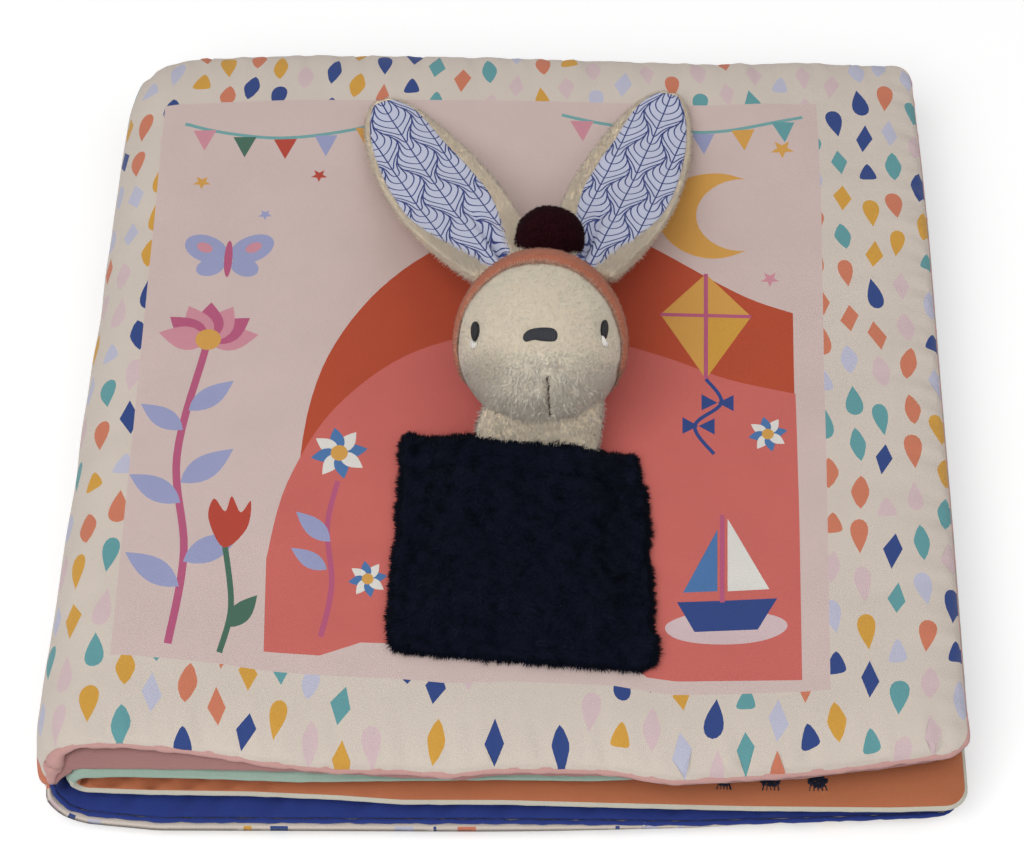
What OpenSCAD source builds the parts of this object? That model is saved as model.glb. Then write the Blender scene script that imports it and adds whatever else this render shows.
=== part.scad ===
// A padded cloth book that lies closed on its back cover, with a plush rabbit tucked into a pocket
// on the front cover. +X runs from the spine fold to the fore edge, +Y from the reader to the far
// edge, and +Z up. The origin is the middle of the closed book, on the surface it lies on.

/* [Book] */
// Width of the closed book, from the spine fold to the leaves' fore edge
book_w = 223.5; // [190:0.5:250]
// Length of a cover along the spine
book_l = 219; // [200:1:250]
// How far the upper half of the stack has slid away over the lower half
slide_y = 7.5; // [0:0.5:10]
// How much the covers stop short of the leaves at the fore edge
cover_short = 1; // [0:0.5:3]
// Radius of the free corners in plan
corner_r = 5; // [3:1:14]
// How far the front edges bow out between the corners
front_bow = 4.5; // [0:0.5:6]
// How far the far edges bow out between the corners
back_bow = 2; // [0:0.5:4]

/* [Padding] */
// Padding behind the printed fabric of a cover
print_pad = 5; // [3.5:0.5:7]
// Padding behind the plain lining of a cover
lining_pad = 1.6; // [1.2:0.2:3]
// Thickness of one inner leaf
leaf_pad = 6.6; // [4.6:0.2:8]
// Air between two sheets that lie on each other
sheet_gap = 0.3; // [0.2:0.1:0.6]
// Slit between the two inner leaves
leaf_slit = 0.4; // [0.3:0.1:1]
// Thickness of one fabric where a seam nips the padding
seam_t = 0.8; // [0.5:0.1:1]
// Width of the band along a seam over which the padding swells
swell_run = 15; // [10:1:18]
// Height of the waves along the seamed edges
edge_wave = 0.9; // [0:0.1:1.2]
// Lift of the front cover's front edge beside the spine
edge_lift = 1.8; // [0:0.1:2.5]

/* [Pocket] */
// Width of the plush pocket
pocket_w = 61; // [58:1:70]
// Length of the pocket from its bottom seam to its mouth
pocket_l = 57; // [48:1:64]
// Pocket's bottom seam to the cover's front edge
pocket_front = 20.5; // [17:0.5:26]
// Sideways place of the pocket's middle
pocket_x = 3.5; // [-6:0.5:10]
// Tilt of the pocket's mouth, in degrees
pocket_turn = -4; // [-8:1:0]
// How much narrower the pocket is at its mouth than at its bottom
pocket_taper = 3.6; // [0:0.2:6]
// Thickness of the plush, pressed flat
plush_t = 2.4; // [1.6:0.2:3.2]
// Extra thickness of the turned hem at the mouth
hem_t = 1; // [0.6:0.1:1.6]
// Depth of the turned hem
hem_l = 7.5; // [6:0.5:10]
// Clear height under the plush at the mouth
mouth_h = 7; // [6:0.5:9]
// Clear height under the plush further in
inner_h = 5.8; // [5:0.2:8]

/* [Rabbit] */
// Sideways place of the head
head_x = 7.2; // [0:0.2:12]
// Turn of the face to the spine side, in degrees
face_turn = 4; // [0:1:10]
// Radius of the head across the cheeks
head_r = 20.8; // [19:0.1:24]
// Half height of the head, from the middle to the crown
head_b = 21.6; // [20:0.1:25]
// Lean of the crown above the horizontal, in degrees
head_lean = 25; // [18:1:32]
// Thickness of the hood
hood_t = 0.8; // [0.8:0.1:1.6]
// Length of an ear in plan, from its root in the hood to its tip
ear_l = 91.5; // [76:0.5:96]
// Greatest width of an ear
ear_w = 27.8; // [20:0.2:30]
// Thickness of an ear along its middle
ear_t = 2.8; // [2.2:0.2:4]
// Thickness of the printed cotton that lines an ear
ear_lining_t = 0.6; // [0.4:0.1:1]
// Radius of the pompom
pompom_r = 9.2; // [7:0.1:11]
// Distance in plan from the pocket's mouth to the bottom of the head's axis
neck_run = 2.6; // [1.6:0.2:5]
// Half width of the neck
neck_w = 13.8; // [12:0.2:15]
// Half depth of the neck where it meets the head
neck_d = 8.6; // [6:0.2:9.4]

/* [Hidden] */

// Lift of every soft piece off what it lies on
lay = 0.3;
// Looseness of the plush over the body
body_ease = 0.6;

cover_pad = print_pad + lining_pad;
stack_h = 2 * (cover_pad + sheet_gap + leaf_pad) + leaf_slit;
// The origin is midway between the outermost points of the bowed edges
mid_y = (front_bow - back_bow) / 2;
fold_z = stack_h / 2;
fold_x = -book_w / 2 + fold_z;
cover_mid_r = fold_z - print_pad;
leaf_mid_r = (leaf_slit + leaf_pad) / 2;
cover_free_x = book_w / 2 - cover_short;
leaf_free_x = book_w / 2;
// Half angle of the gap between the two covers at the spine seam
spine_slit_a = 1.3;

// Steps round a quarter of the spine fold, and along the flat of a sheet
fold_steps = 6;
flat_steps = 11;
// Distances in from a seamed edge at which the swell is sampled
swell_at = [for (k = [0, 0.1, 0.3, 0.6, 1]) k * swell_run];
middle_at = [-0.5, 0, 0.5];

// Padding grows from a seam as a quarter circle
function swell(d) = d >= swell_run ? 1 : sqrt(1 - pow(1 - max(d, 0) / swell_run, 2));
function smooth(t) = let (c = min(max(t, 0), 1)) c * c * (3 - 2 * c);

// Half length of a sheet at a distance from its free edge, where the corners are round
function half_l(d_free) = d_free >= corner_r ? book_l / 2
    : book_l / 2 - corner_r + sqrt(max(0, pow(corner_r, 2) - pow(corner_r - d_free, 2)));

// Places across a sheet, close together near both edges
function across(hl) = concat(
    [for (e = swell_at) -hl + e],
    [for (m = middle_at) m * (hl - swell_run)],
    [for (i = [len(swell_at) - 1:-1:0]) hl - swell_at[i]]
);

// A station along a sheet is [x, z, normal x, normal z, distance to the free edge, slide]
function flat_station(x, r, side, free_x) =
    [x, fold_z + side * r, 0, side, free_x - x, side * slide_y / 2];

// Places along the flat of a sheet, from the fold to the free edge
function flat_places(free_x) = let (run = free_x - swell_run - fold_x) concat(
    [for (i = [1:flat_steps]) fold_x + run * i / flat_steps],
    [for (i = [len(swell_at) - 2:-1:0]) free_x - swell_at[i]]
);

// Slide of a point on the fold: none at the spine seam and half the slide on each flat
function fold_slide(a) = slide_y / 2 * (180 - a) / 90;

function cover_stations(side) = concat(
    [for (i = [0:fold_steps])
        let (a = 180 - spine_slit_a - (90 - spine_slit_a) * i / fold_steps)
        [fold_x + cover_mid_r * cos(a), fold_z + side * cover_mid_r * sin(a),
         cos(a), side * sin(a), book_w, side * fold_slide(a)]],
    [for (x = flat_places(cover_free_x)) flat_station(x, cover_mid_r, side, cover_free_x)]
);

function leaf_stations() = concat(
    [for (i = [len(flat_places(leaf_free_x)) - 1:-1:0])
        flat_station(flat_places(leaf_free_x)[i], leaf_mid_r, 1, leaf_free_x)],
    [for (i = [0:2 * fold_steps])
        let (a = 90 + 90 * i / fold_steps)
        [fold_x + leaf_mid_r * cos(a), fold_z + leaf_mid_r * sin(a),
         cos(a), sin(a), book_w, fold_slide(a)]],
    [for (x = flat_places(leaf_free_x)) flat_station(x, leaf_mid_r, -1, leaf_free_x)]
);

// Waves along the seams, and the lift of the front edge beside the spine
function ripple(x, y, d_free, d_side) = edge_wave * (
    (1 - swell(d_side)) * sin(x * 9.1 + y) + (1 - swell(d_free)) * sin(y * 7.7)
);
function lift(x, y, side) = side > 0 && y < 0
    ? edge_lift * (1 - swell(book_l / 2 + y)) * (1 - smooth((x - fold_x) / 70)) : 0;

// Outward bow of the edges between the spine and the fore edge, at a place with y on one side
function bow(x, y) = (y < 0 ? front_bow : back_bow)
    * smooth((x - fold_x) / (0.42 * book_w)) * smooth((book_w / 2 - x) / (0.3 * book_w));

// One face of a sheet. Its offset from the middle grows from edge_off at a seam to full_off.
function skin(stations, edge_off, full_off, side = 0) = [
    for (s = stations) let (hl = half_l(s[4])) [
        for (y = across(hl)) let (
            d_side = hl - abs(y),
            k = swell(s[4]) * swell(d_side),
            n = edge_off + (full_off - edge_off) * k
                + ripple(s[0], y, s[4], d_side) + lift(s[0], y, side) * abs(s[3])
        ) [s[0] + s[2] * n, y * (1 + bow(s[0], y) / hl) + s[5] + mid_y, s[1] + s[3] * n]
    ]
];

// A closed solid between two grids of points that have the same rows and columns. Seen from
// outside, the first grid's rows and columns run clockwise.
module sheet(near, far) {
    rows = len(near);
    cols = len(near[0]);
    under = rows * cols;
    function at(i, j) = i * cols + j;
    rim = concat(
        [for (j = [0:cols - 1]) at(0, j)],
        [for (i = [1:rows - 1]) at(i, cols - 1)],
        [for (j = [cols - 2:-1:0]) at(rows - 1, j)],
        [for (i = [rows - 2:-1:1]) at(i, 0)]
    );
    cells = [for (i = [0:rows - 2], j = [0:cols - 2]) [at(i, j), at(i + 1, j), at(i + 1, j + 1), at(i, j + 1)]];
    polyhedron(
        points = concat([for (r = near) each r], [for (r = far) each r]),
        faces = concat(
            [for (c = cells) each [[c[0], c[1], c[2]], [c[0], c[2], c[3]]]],
            [for (c = cells) each [[c[0], c[2], c[1]] + under * [1, 1, 1], [c[0], c[3], c[2]] + under * [1, 1, 1]]],
            [for (k = [0:len(rim) - 1])
                let (a = rim[k], b = rim[(k + 1) % len(rim)])
                each [[a, b, b + under], [a, b + under, a + under]]]
        ),
        convexity = 6
    );
}

// The covers: printed fabric and padding outside, plain lining inside, sewn round the edge
module front_cover() {
    color([0.85, 0.81, 0.76])
        sheet(skin(cover_stations(1), 0, 0, 1), skin(cover_stations(1), seam_t, print_pad, 1));
}

module front_cover_lining() {
    color([0.80, 0.62, 0.61])
        sheet(skin(cover_stations(1), -seam_t, -lining_pad, 1), skin(cover_stations(1), 0, 0, 1));
}

module back_cover() {
    color([0.85, 0.81, 0.76])
        sheet(skin(cover_stations(-1), seam_t, print_pad), skin(cover_stations(-1), 0, 0));
}

module back_cover_lining() {
    color([0.16, 0.22, 0.50])
        sheet(skin(cover_stations(-1), 0, 0), skin(cover_stations(-1), -seam_t, -lining_pad));
}

// The inner sheet, folded once at the spine into two padded leaves
module pages() {
    color([0.76, 0.45, 0.32])
        sheet(
            skin(leaf_stations(), seam_t, leaf_pad / 2),
            skin(leaf_stations(), -seam_t, -leaf_pad / 2)
        );
}

// The pocket, in its own frame: +Y to the mouth, its middle at the origin. Its sides stay straight
// up the book while its mouth tilts, and its mouth's corners lie further back than the middle.
pocket_y = mid_y + slide_y / 2 - book_l / 2 + pocket_front + pocket_l / 2;
mouth_skew = 0.02;
mouth_corner_back = 3.5;
function on_cover(p) = let (
    k = p[1] / pocket_l,
    x = p[0] * (1 - pocket_taper / pocket_w * k),
    up = max(k + 0.5, 0),
    corner = mouth_corner_back * smooth((abs(p[0]) - neck_w) / (pocket_w / 2 - neck_w)) * up
) [
    pocket_x + x * cos(pocket_turn),
    pocket_y + x * sin(pocket_turn) - mouth_skew * x * up + corner + p[1],
    stack_h + p[2]
];

// Width of the seam that lies flat on the cover, and length of the rise from the bottom seam
rim_w = 3;
bottom_slope = 10;
pocket_corner = 4;
seam_half = pocket_w / 2 - rim_w;

// Half width of the flat top of the bulge, and the fall from there to the side seams
function raised_w(y) = seam_half * (0.56 - 0.1 * smooth(1 - (pocket_l / 2 - y) / 20));
function fall_w(y) = seam_half - raised_w(y);

// Clear height under the plush
function hollow(x, y) = let (
    h = inner_h + (mouth_h - inner_h) * smooth(1 - (pocket_l / 2 - y) / 20),
    across_k = smooth((seam_half - abs(x)) / fall_w(y)) * (1 - 0.1 * pow(x / seam_half, 2)),
    along_k = smooth((y + pocket_l / 2 - rim_w) / bottom_slope)
) h * across_k * along_k;

// Thickness of the plush, with the turned hem and the dent of its seam
function plush_at(y) = let (d = pocket_l / 2 - y)
    plush_t + (d < hem_l ? hem_t : 0) - (d > hem_l - 0.1 && d < hem_l + 1.2 ? 0.6 : 0);

function pocket_half_w(y) = let (d = y + pocket_l / 2) pocket_w / 2
    - (d < pocket_corner ? pocket_corner - sqrt(pow(pocket_corner, 2) - pow(pocket_corner - d, 2)) : 0);

function pocket_across(y) = let (
    w = raised_w(y),
    limit = pocket_half_w(y) - 0.5,
    half = [for (k = [1, 0.8, 0.6, 0.4, 0.2, 0]) min(w + k * fall_w(y), limit - (1 - k) * 0.1)]
) concat(
    [-pocket_half_w(y)], -half, [-w / 2, 0, w / 2],
    [for (i = [len(half) - 1:-1:0]) half[i]], [pocket_half_w(y)]
);

pocket_along = concat(
    [0, 1, rim_w],
    [for (k = [0.2, 0.4, 0.6, 0.8, 1]) rim_w + k * bottom_slope],
    [for (k = [0.3, 0.65]) rim_w + bottom_slope + k * (pocket_l - hem_l - 2 - rim_w - bottom_slope)],
    [pocket_l - hem_l - 2, pocket_l - hem_l - 0.5, pocket_l - hem_l + 1, pocket_l - 3, pocket_l]
);

module pocket() {
    rows = [for (d = pocket_along) d - pocket_l / 2];
    color([0.07, 0.09, 0.14])
        sheet(
            [for (y = rows) [for (x = pocket_across(y)) on_cover([x, y, lay + hollow(x, y) + plush_at(y)])]],
            [for (y = rows) [for (x = pocket_across(y)) on_cover([x, y, lay + hollow(x, y)])]]
        );
}

// The rabbit lies on its back with its face up, its crown away from the pocket
head_c = [
    head_x,
    pocket_y + pocket_l / 2 + neck_run + head_b * cos(head_lean),
    stack_h + 2 * lay + hood_t + sqrt(pow(head_r * cos(head_lean), 2) + pow(head_b * sin(head_lean), 2))
];
egg_k = 0.05;

// From the head's own frame, crown along +Z and face along -Y, to the book
function in_head(p) = head_c + [
    p[0],
    p[1] * sin(head_lean) + p[2] * cos(head_lean),
    -p[1] * cos(head_lean) + p[2] * sin(head_lean)
];

module place_head() {
    translate(head_c) rotate([head_lean - 90, 0, 0]) rotate([0, 0, -face_turn]) children();
}

// The head is an egg, a little wider at the cheeks than at the crown
module egg(grow = 0) {
    steps = 30;
    rotate_extrude($fn = 96)
        polygon([
            for (i = [0:steps]) let (a = -90 + 180 * i / steps)
                [i % steps == 0 ? 0 : (head_r + grow) * cos(a) * (1 - egg_k * sin(a)), (head_b + grow) * sin(a)]
        ]);
}

module rabbit_head() {
    color([0.80, 0.76, 0.68]) place_head() egg();
}

// The hood covers the back of the head. Its edge runs over the brow and ends at the jaw.
module rabbit_hood() {
    brow_y = 0.27 * head_r;
    brow_lean = 23;
    jaw_z = 0.4 * head_b;
    jaw_lean = -22;
    color([0.72, 0.42, 0.32]) place_head() difference() {
        egg(hood_t);
        egg();
        rotate([brow_lean, 0, 0])
            translate([-2 * head_r, -3 * head_r - brow_y, -2 * head_b])
                cube([4 * head_r, 3 * head_r, 4 * head_b]);
        rotate([jaw_lean, 0, 0])
            translate([-2 * head_r, -3 * head_r, -3 * head_b - jaw_z])
                cube([4 * head_r, 6 * head_r, 3 * head_b]);
    }
}

// An embroidered patch that follows the face, a slot of the given size
module stitched(x, z, long, wide, upright, rise = 0.6) {
    spin = asin(x / head_r);
    difference() {
        intersection() {
            egg(rise);
            translate([0, 0, z]) rotate([0, 0, spin]) rotate([90, upright ? 90 : 0, 0])
                for (part = [-1, 1]) union() {
                    translate([part * (long - wide) / 2, 0, 0]) cylinder(d = wide, h = 2 * head_r, $fn = 48);
                    translate([-(long - wide) / 2, -wide / 2, 0]) cube([long - wide, wide, 2 * head_r]);
                }
        }
        egg();
    }
}

eye_x = 0.75 * head_r;
eye_z = -0.03 * head_b;
eye_size = [5, 2];
nose_x = 0.065 * head_r;
nose_z = -0.14 * head_b;
nose_size = [8.4, 4];
module nose() {
    color([0.21, 0.20, 0.21]) place_head() stitched(nose_x, nose_z, nose_size[0], nose_size[1], false);
}
module eye(side) {
    color([0.10, 0.08, 0.08]) place_head() stitched(side * eye_x, eye_z, eye_size[0], eye_size[1], true);
}
module eye_left() { eye(-1); }
module eye_right() { eye(1); }

// Half width of an ear, along it from root to tip
ear_widest = 0.45;
function ear_half(s) = ear_w / 2 * (s < ear_widest
    ? 0.4 + 0.6 * sin(90 * s / ear_widest)
    : sqrt(1 - pow((s - ear_widest) / (1 - ear_widest), 2.1)));
ear_at = [0, 0.1, 0.18, 0.26, 0.35, 0.45, 0.55, 0.65, 0.75, 0.84, 0.91, 0.96, 0.99];
ear_across = [-1, -0.85, -0.5, 0, 0.5, 0.85, 1];
ear_cup = 1.6;
// Root of the left and the right ear in the head's frame, and each ear's turn from straight back
ear_root = [
    [-0.38 * head_r, 0.24 * head_r, 0.7 * head_b],
    [0.45 * head_r, 0.24 * head_r, 0.7 * head_b]
];
ear_turn = [24.4, -16.5];
ear_tip_z = stack_h + lay;

// A point on an ear: s from root to tip, t across, up from its underside
function ear_point(side, s, t, up, inset = 0) = let (
    root = in_head(ear_root[side < 0 ? 0 : 1]),
    turn = side < 0 ? ear_turn[0] : ear_turn[1],
    w = max(ear_half(s) - inset, 0.3) * t,
    along = ear_l * s,
    z = ear_tip_z + (root[2] - ear_tip_z) * pow(1 - s, 1.5) + ear_cup * t * t * (1 - s)
) [root[0] - along * sin(turn) + w * cos(turn), root[1] + along * cos(turn) + w * sin(turn), z + up];

// Thickness of the ear's plush, least at its edge
function ear_thick(t) = ear_t * (0.45 + 0.55 * sqrt(1 - t * t));

// What is cut away where a piece sits against the hood
module seat_on_hood() {
    place_head() egg(hood_t + 0.1);
}

// The pompom's ball, behind the crown, pressed a little into the hood
pompom_press = 0.8;
pompom_back = 23;
pompom_reach = head_b + hood_t + pompom_r - pompom_press;
module pompom_ball(grow = 0) {
    translate(in_head([2, pompom_reach * sin(pompom_back), pompom_reach * cos(pompom_back)]))
        sphere(r = pompom_r + grow, $fn = 64);
}

module ear(side) {
    color([0.78, 0.74, 0.66]) difference() {
        sheet(
            [for (s = ear_at) [for (t = ear_across) ear_point(side, s, t, ear_thick(t))]],
            [for (s = ear_at) [for (t = ear_across) ear_point(side, s, t, 0)]]
        );
        seat_on_hood();
        pompom_ball(0.3);
    }
}

// The printed cotton sewn on the ear's upper side, inside its plush edge
module ear_lining(side) {
    inset = 2;
    places = [for (s = ear_at) if (s < 0.97) s];
    function up(s, t) = ear_thick(t * max(ear_half(s) - inset, 0.3) / ear_half(s)) + 0.2;
    color([0.72, 0.75, 0.84]) difference() {
        sheet(
            [for (s = places) [for (t = ear_across) ear_point(side, s, t, up(s, t) + ear_lining_t, inset)]],
            [for (s = places) [for (t = ear_across) ear_point(side, s, t, up(s, t), inset)]]
        );
        seat_on_hood();
        pompom_ball(0.3);
    }
}

module ear_left() { ear(-1); }
module ear_right() { ear(1); }
module ear_lining_left() { ear_lining(-1); }
module ear_lining_right() { ear_lining(1); }

module pompom() {
    color([0.22, 0.08, 0.11]) difference() {
        pompom_ball();
        seat_on_hood();
    }
}

// The body fills the pocket, and its neck runs up into the seam under the head
body_across = [-1, -0.8, -0.5, -0.2, 0.2, 0.5, 0.8, 1];
function body_w(d) = d > pocket_l - 1 ? neck_w + 1 : let (y = d - pocket_l / 2) raised_w(y) + 0.58 * fall_w(y);
// The neck leaves the pocket a little to the fore edge's side of its middle
neck_shift = 2.5;
function body_x(d) = neck_shift * smooth((d - pocket_l + 14) / 10);
function body_row(d, top) = let (y = d - pocket_l / 2) [
    for (t = body_across) let (x = t * body_w(d) + body_x(d)) on_cover([x, y, lay + (top ? hollow(x, y) - body_ease : 0)])
];
body_along = concat(
    [rim_w + 5, rim_w + 7], [for (k = [0, 0.25, 0.5, 0.75]) rim_w + bottom_slope + k * (pocket_l - rim_w - bottom_slope)],
    [pocket_l - 4, pocket_l - 0.4]
);

// Half of the neck's end, which is cut back to the head
function neck_row(top) = [
    for (t = body_across)
        in_head([t * neck_w + 0.5 * neck_shift, (top ? -1 : 1) * (0.6 + neck_d * sqrt(1 - t * t)), -0.55 * head_b])
];

module rabbit_body() {
    color([0.78, 0.74, 0.66]) difference() {
        sheet(
            concat([for (d = body_along) body_row(d, true)], [neck_row(true)]),
            concat([for (d = body_along) body_row(d, false)], [neck_row(false)])
        );
        place_head() egg(0.1);
        seat_on_hood();
    }
}

front_cover();
front_cover_lining();
back_cover();
back_cover_lining();
pages();
pocket();
rabbit_body();
rabbit_head();
rabbit_hood();
nose();
eye_left();
eye_right();
ear_left();
ear_right();
ear_lining_left();
ear_lining_right();
pompom();
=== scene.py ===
import bmesh
import bpy, math
import numpy as np
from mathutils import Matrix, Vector
from mathutils.geometry import delaunay_2d_cdt


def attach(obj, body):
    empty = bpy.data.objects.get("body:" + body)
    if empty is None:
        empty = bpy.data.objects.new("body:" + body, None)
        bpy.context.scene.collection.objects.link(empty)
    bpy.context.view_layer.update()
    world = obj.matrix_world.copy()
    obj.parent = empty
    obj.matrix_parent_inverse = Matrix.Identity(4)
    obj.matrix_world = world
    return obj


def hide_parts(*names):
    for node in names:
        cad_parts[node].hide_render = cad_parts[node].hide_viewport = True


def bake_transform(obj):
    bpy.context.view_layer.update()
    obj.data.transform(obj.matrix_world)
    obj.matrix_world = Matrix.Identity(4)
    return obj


# Cloth book with a plush rabbit in a pocket. Shapes are worked out in millimetres, in the frame of
# the CAD model, and written to the meshes in metres.
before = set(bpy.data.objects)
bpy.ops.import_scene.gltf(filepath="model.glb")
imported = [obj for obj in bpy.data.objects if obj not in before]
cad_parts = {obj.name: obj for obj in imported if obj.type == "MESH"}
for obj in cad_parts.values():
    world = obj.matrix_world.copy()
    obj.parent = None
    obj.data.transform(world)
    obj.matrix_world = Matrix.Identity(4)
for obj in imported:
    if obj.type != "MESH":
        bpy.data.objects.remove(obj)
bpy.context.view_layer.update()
scene = bpy.context.scene
scene.view_settings.view_transform = "Standard"
MM = 0.001
FLOOR_GLOW = 0.3


# Camera, floor and lamps
def make_camera():
    az, el, dist = math.radians(1.09), math.radians(55.03), 0.6029
    back = Vector((math.sin(az) * math.cos(el), -math.cos(az) * math.cos(el), math.sin(el)))
    data = bpy.data.cameras.new("camera")
    data.sensor_width = 36.0
    data.lens = 36.0 * 2316 / 1024
    cam = bpy.data.objects.new("camera", data)
    scene.collection.objects.link(cam)
    cam.location = Vector((0.00019, -0.00952, 0.015)) + back * dist
    cam.rotation_mode = "QUATERNION"
    cam.rotation_quaternion = (-back).to_track_quat("-Z", "Y")
    scene.camera = cam


def make_lamp(name, place, size, energy):
    data = bpy.data.lights.new(name, "AREA")
    data.size = size
    data.energy = energy
    lamp = bpy.data.objects.new(name, data)
    scene.collection.objects.link(lamp)
    lamp.location = place
    lamp.rotation_mode = "QUATERNION"
    lamp.rotation_quaternion = (-Vector(place)).to_track_quat("-Z", "Y")


def make_surroundings():
    world = bpy.data.worlds.new("studio")
    scene.world = world
    world.use_nodes = True
    tree = world.node_tree
    ground = tree.nodes["Background"]
    ground.inputs[0].default_value = (1, 1, 1, 1)
    ground.inputs[1].default_value = 0.40
    seen = add_node(tree, "ShaderNodeBackground", {0: (1, 1, 1, 1), 1: 1.0})
    mix = add_node(tree, "ShaderNodeMixShader", {}, {0: any_of_rays(tree), 1: ground.outputs[0],
                                                     2: seen.outputs[0]})
    tree.links.new(mix.outputs[0], tree.nodes["World Output"].inputs[0])
    make_lamp("key", (-0.38, -0.58, 1.0), 1.0, 9.2)
    make_lamp("fill", (0.6, -0.1, 1.0), 1.0, 2.4)

    mesh = bpy.data.meshes.new("floor")
    h, z = 3.0, -0.0004
    mesh.from_pydata([(-h, -h, z), (h, -h, z), (h, h, z), (-h, h, z)], [], [(0, 1, 2, 3)])
    floor = bpy.data.objects.new("floor", mesh)
    scene.collection.objects.link(floor)
    mat = bpy.data.materials.new("pale floor")
    mat.use_nodes = True
    tree = mat.node_tree
    shader = tree.nodes["Principled BSDF"]
    shader.inputs["Base Color"].default_value = (0.80, 0.80, 0.80, 1)
    shader.inputs["Roughness"].default_value = 0.9
    strength = maths(tree, "MULTIPLY", any_of_rays(tree), FLOOR_GLOW)
    glow = add_node(tree, "ShaderNodeEmission", {0: (1, 1, 1, 1)}, {1: strength})
    add = add_node(tree, "ShaderNodeAddShader", {}, {0: shader.outputs[0], 1: glow.outputs[0]})
    tree.links.new(add.outputs[0], tree.nodes["Material Output"].inputs[0])
    mesh.materials.append(mat)


def any_of_rays(tree):
    """Socket that is 1 for camera, glossy and transmission rays."""
    path = tree.nodes.new("ShaderNodeLightPath").outputs
    seen = maths(tree, "MAXIMUM", path["Is Camera Ray"], path["Is Glossy Ray"])
    return maths(tree, "MAXIMUM", seen, path["Is Transmission Ray"])


# Inks and materials
def rgb(code):
    v = [int(code[i:i + 2], 16) / 255 for i in (0, 2, 4)]
    return np.array([c / 12.92 if c <= 0.04045 else ((c + 0.055) / 1.055) ** 2.4 for c in v])


INK = {k: rgb(v) for k, v in {
    "cream": "cdc1b6", "field": "cab5b0", "coral": "c4655e", "rust": "b04a30", "amber": "cd994c",
    "plum": "b05678", "peri": "9498bc", "navy": "2f447e", "teal": "5f979b", "gold": "cb9840",
    "brick": "c6775c", "lilac": "b7b7ca", "blush": "ccb4b6", "pink": "c68894", "green": "456858",
    "red": "b04436", "white": "d9d5cf", "blue": "4a72a4", "line": "6ea0a0",
    # The pink lining's ink is its own pink darkened partly with painted shade, for the band under the cover's
    # rim.
    "shaded_lining_pink": "9c7370", "roll_pink": "c0948f", "lining_blue": "25367a", "leaf_blue": "384c8e",
    # The leaves' orange is their own orange darkened partly with painted shade, for the edge under the
    # cover's overhang.
    "shaded_orange": "ac6746", "mint": "94aa9c", "seam": "c0bcae", "thread": "25262d",
    "plush_navy": "0d111d", "plush_cream": "dcc5a6", "face": "d0c3ae", "plush_coral": "b56c52",
    "wool": "270b11", "ear_cotton": "c3c6da", "ear_line": "2e3c78", "neck": "d6c5ac",
}.items()}


def new_material(name, roughness, sheen, shine=0.2):
    mat = bpy.data.materials.new(name)
    mat.use_nodes = True
    tree = mat.node_tree
    shader = tree.nodes["Principled BSDF"]
    for key, value in (("Roughness", roughness), ("Sheen Weight", sheen), ("Sheen Roughness", 0.5),
                       ("Specular IOR Level", shine)):
        shader.inputs[key].default_value = value
    ink = tree.nodes.new("ShaderNodeAttribute")
    ink.attribute_name = "ink"
    return mat, tree, shader, ink.outputs["Color"]


def add_node(tree, kind, values={}, links={}):
    """A new node with some of its inputs set and others linked."""
    n = tree.nodes.new(kind)
    for key, value in values.items():
        n.inputs[key].default_value = value
    for key, socket in links.items():
        tree.links.new(socket, n.inputs[key])
    return n


def maths(tree, op, *terms):
    """The result of a maths node on numbers and sockets."""
    n = tree.nodes.new("ShaderNodeMath")
    n.operation = op
    for socket, term in zip(n.inputs, terms):
        if isinstance(term, (int, float)):
            socket.default_value = term
        else:
            tree.links.new(term, socket)
    return n.outputs[0]


def noise(tree, space, scale, detail):
    return add_node(tree, "ShaderNodeTexNoise", {"Scale": scale, "Detail": detail},
                    {"Vector": space}).outputs[0]


def finish_material(tree, shader, ink, shade, height, strength, depth):
    """The ink times a grey shade as the colour, and the height as a bump."""
    mix = add_node(tree, "ShaderNodeMix")
    mix.data_type = "RGBA"
    mix.blend_type = "MULTIPLY"
    mix.inputs["Factor"].default_value = 1.0
    tree.links.new(ink, mix.inputs[6])
    tree.links.new(shade, mix.inputs[7])
    tree.links.new(mix.outputs[2], shader.inputs["Base Color"])
    bump = add_node(tree, "ShaderNodeBump", {"Strength": strength, "Distance": depth}, {"Height": height})
    tree.links.new(bump.outputs[0], shader.inputs["Normal"])


def cloth_space(tree):
    """The cloth's own flat coordinates in millimetres."""
    uv = tree.nodes.new("ShaderNodeUVMap")
    uv.uv_map = "cloth"
    scale = tree.nodes.new("ShaderNodeVectorMath")
    scale.operation = "SCALE"
    scale.inputs["Scale"].default_value = 100.0
    tree.links.new(uv.outputs[0], scale.inputs[0])
    return scale.outputs[0]


def woven(name, pitch, depth, mottle=0.10):
    """Plain woven cloth: threads over and under, with faint slubs and unevenly taken dye."""
    mat, tree, shader, ink = new_material(name, 0.86, 0.12)
    space = cloth_space(tree)
    split = add_node(tree, "ShaderNodeSeparateXYZ", {}, {0: space})
    turn = 2 * math.pi / pitch
    u, v = [maths(tree, "SINE", maths(tree, "MULTIPLY", split.outputs[k], turn)) for k in (0, 1)]
    weave = maths(tree, "MULTIPLY", u, v)
    slub, cloud = noise(tree, space, 2.2, 3.0), noise(tree, space, 0.06, 4.0)
    height = maths(tree, "ADD", weave, maths(tree, "MULTIPLY", slub, 1.6))
    shade = maths(tree, "ADD", 1.0 - mottle * 0.5, maths(tree, "MULTIPLY", weave, 0.035))
    slubs = maths(tree, "MULTIPLY", maths(tree, "SUBTRACT", slub, 0.5), mottle)
    shade = maths(tree, "ADD", maths(tree, "ADD", shade, slubs), maths(tree, "MULTIPLY", cloud, mottle))
    finish_material(tree, shader, ink, shade, height, 0.55, depth)
    return mat


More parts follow.
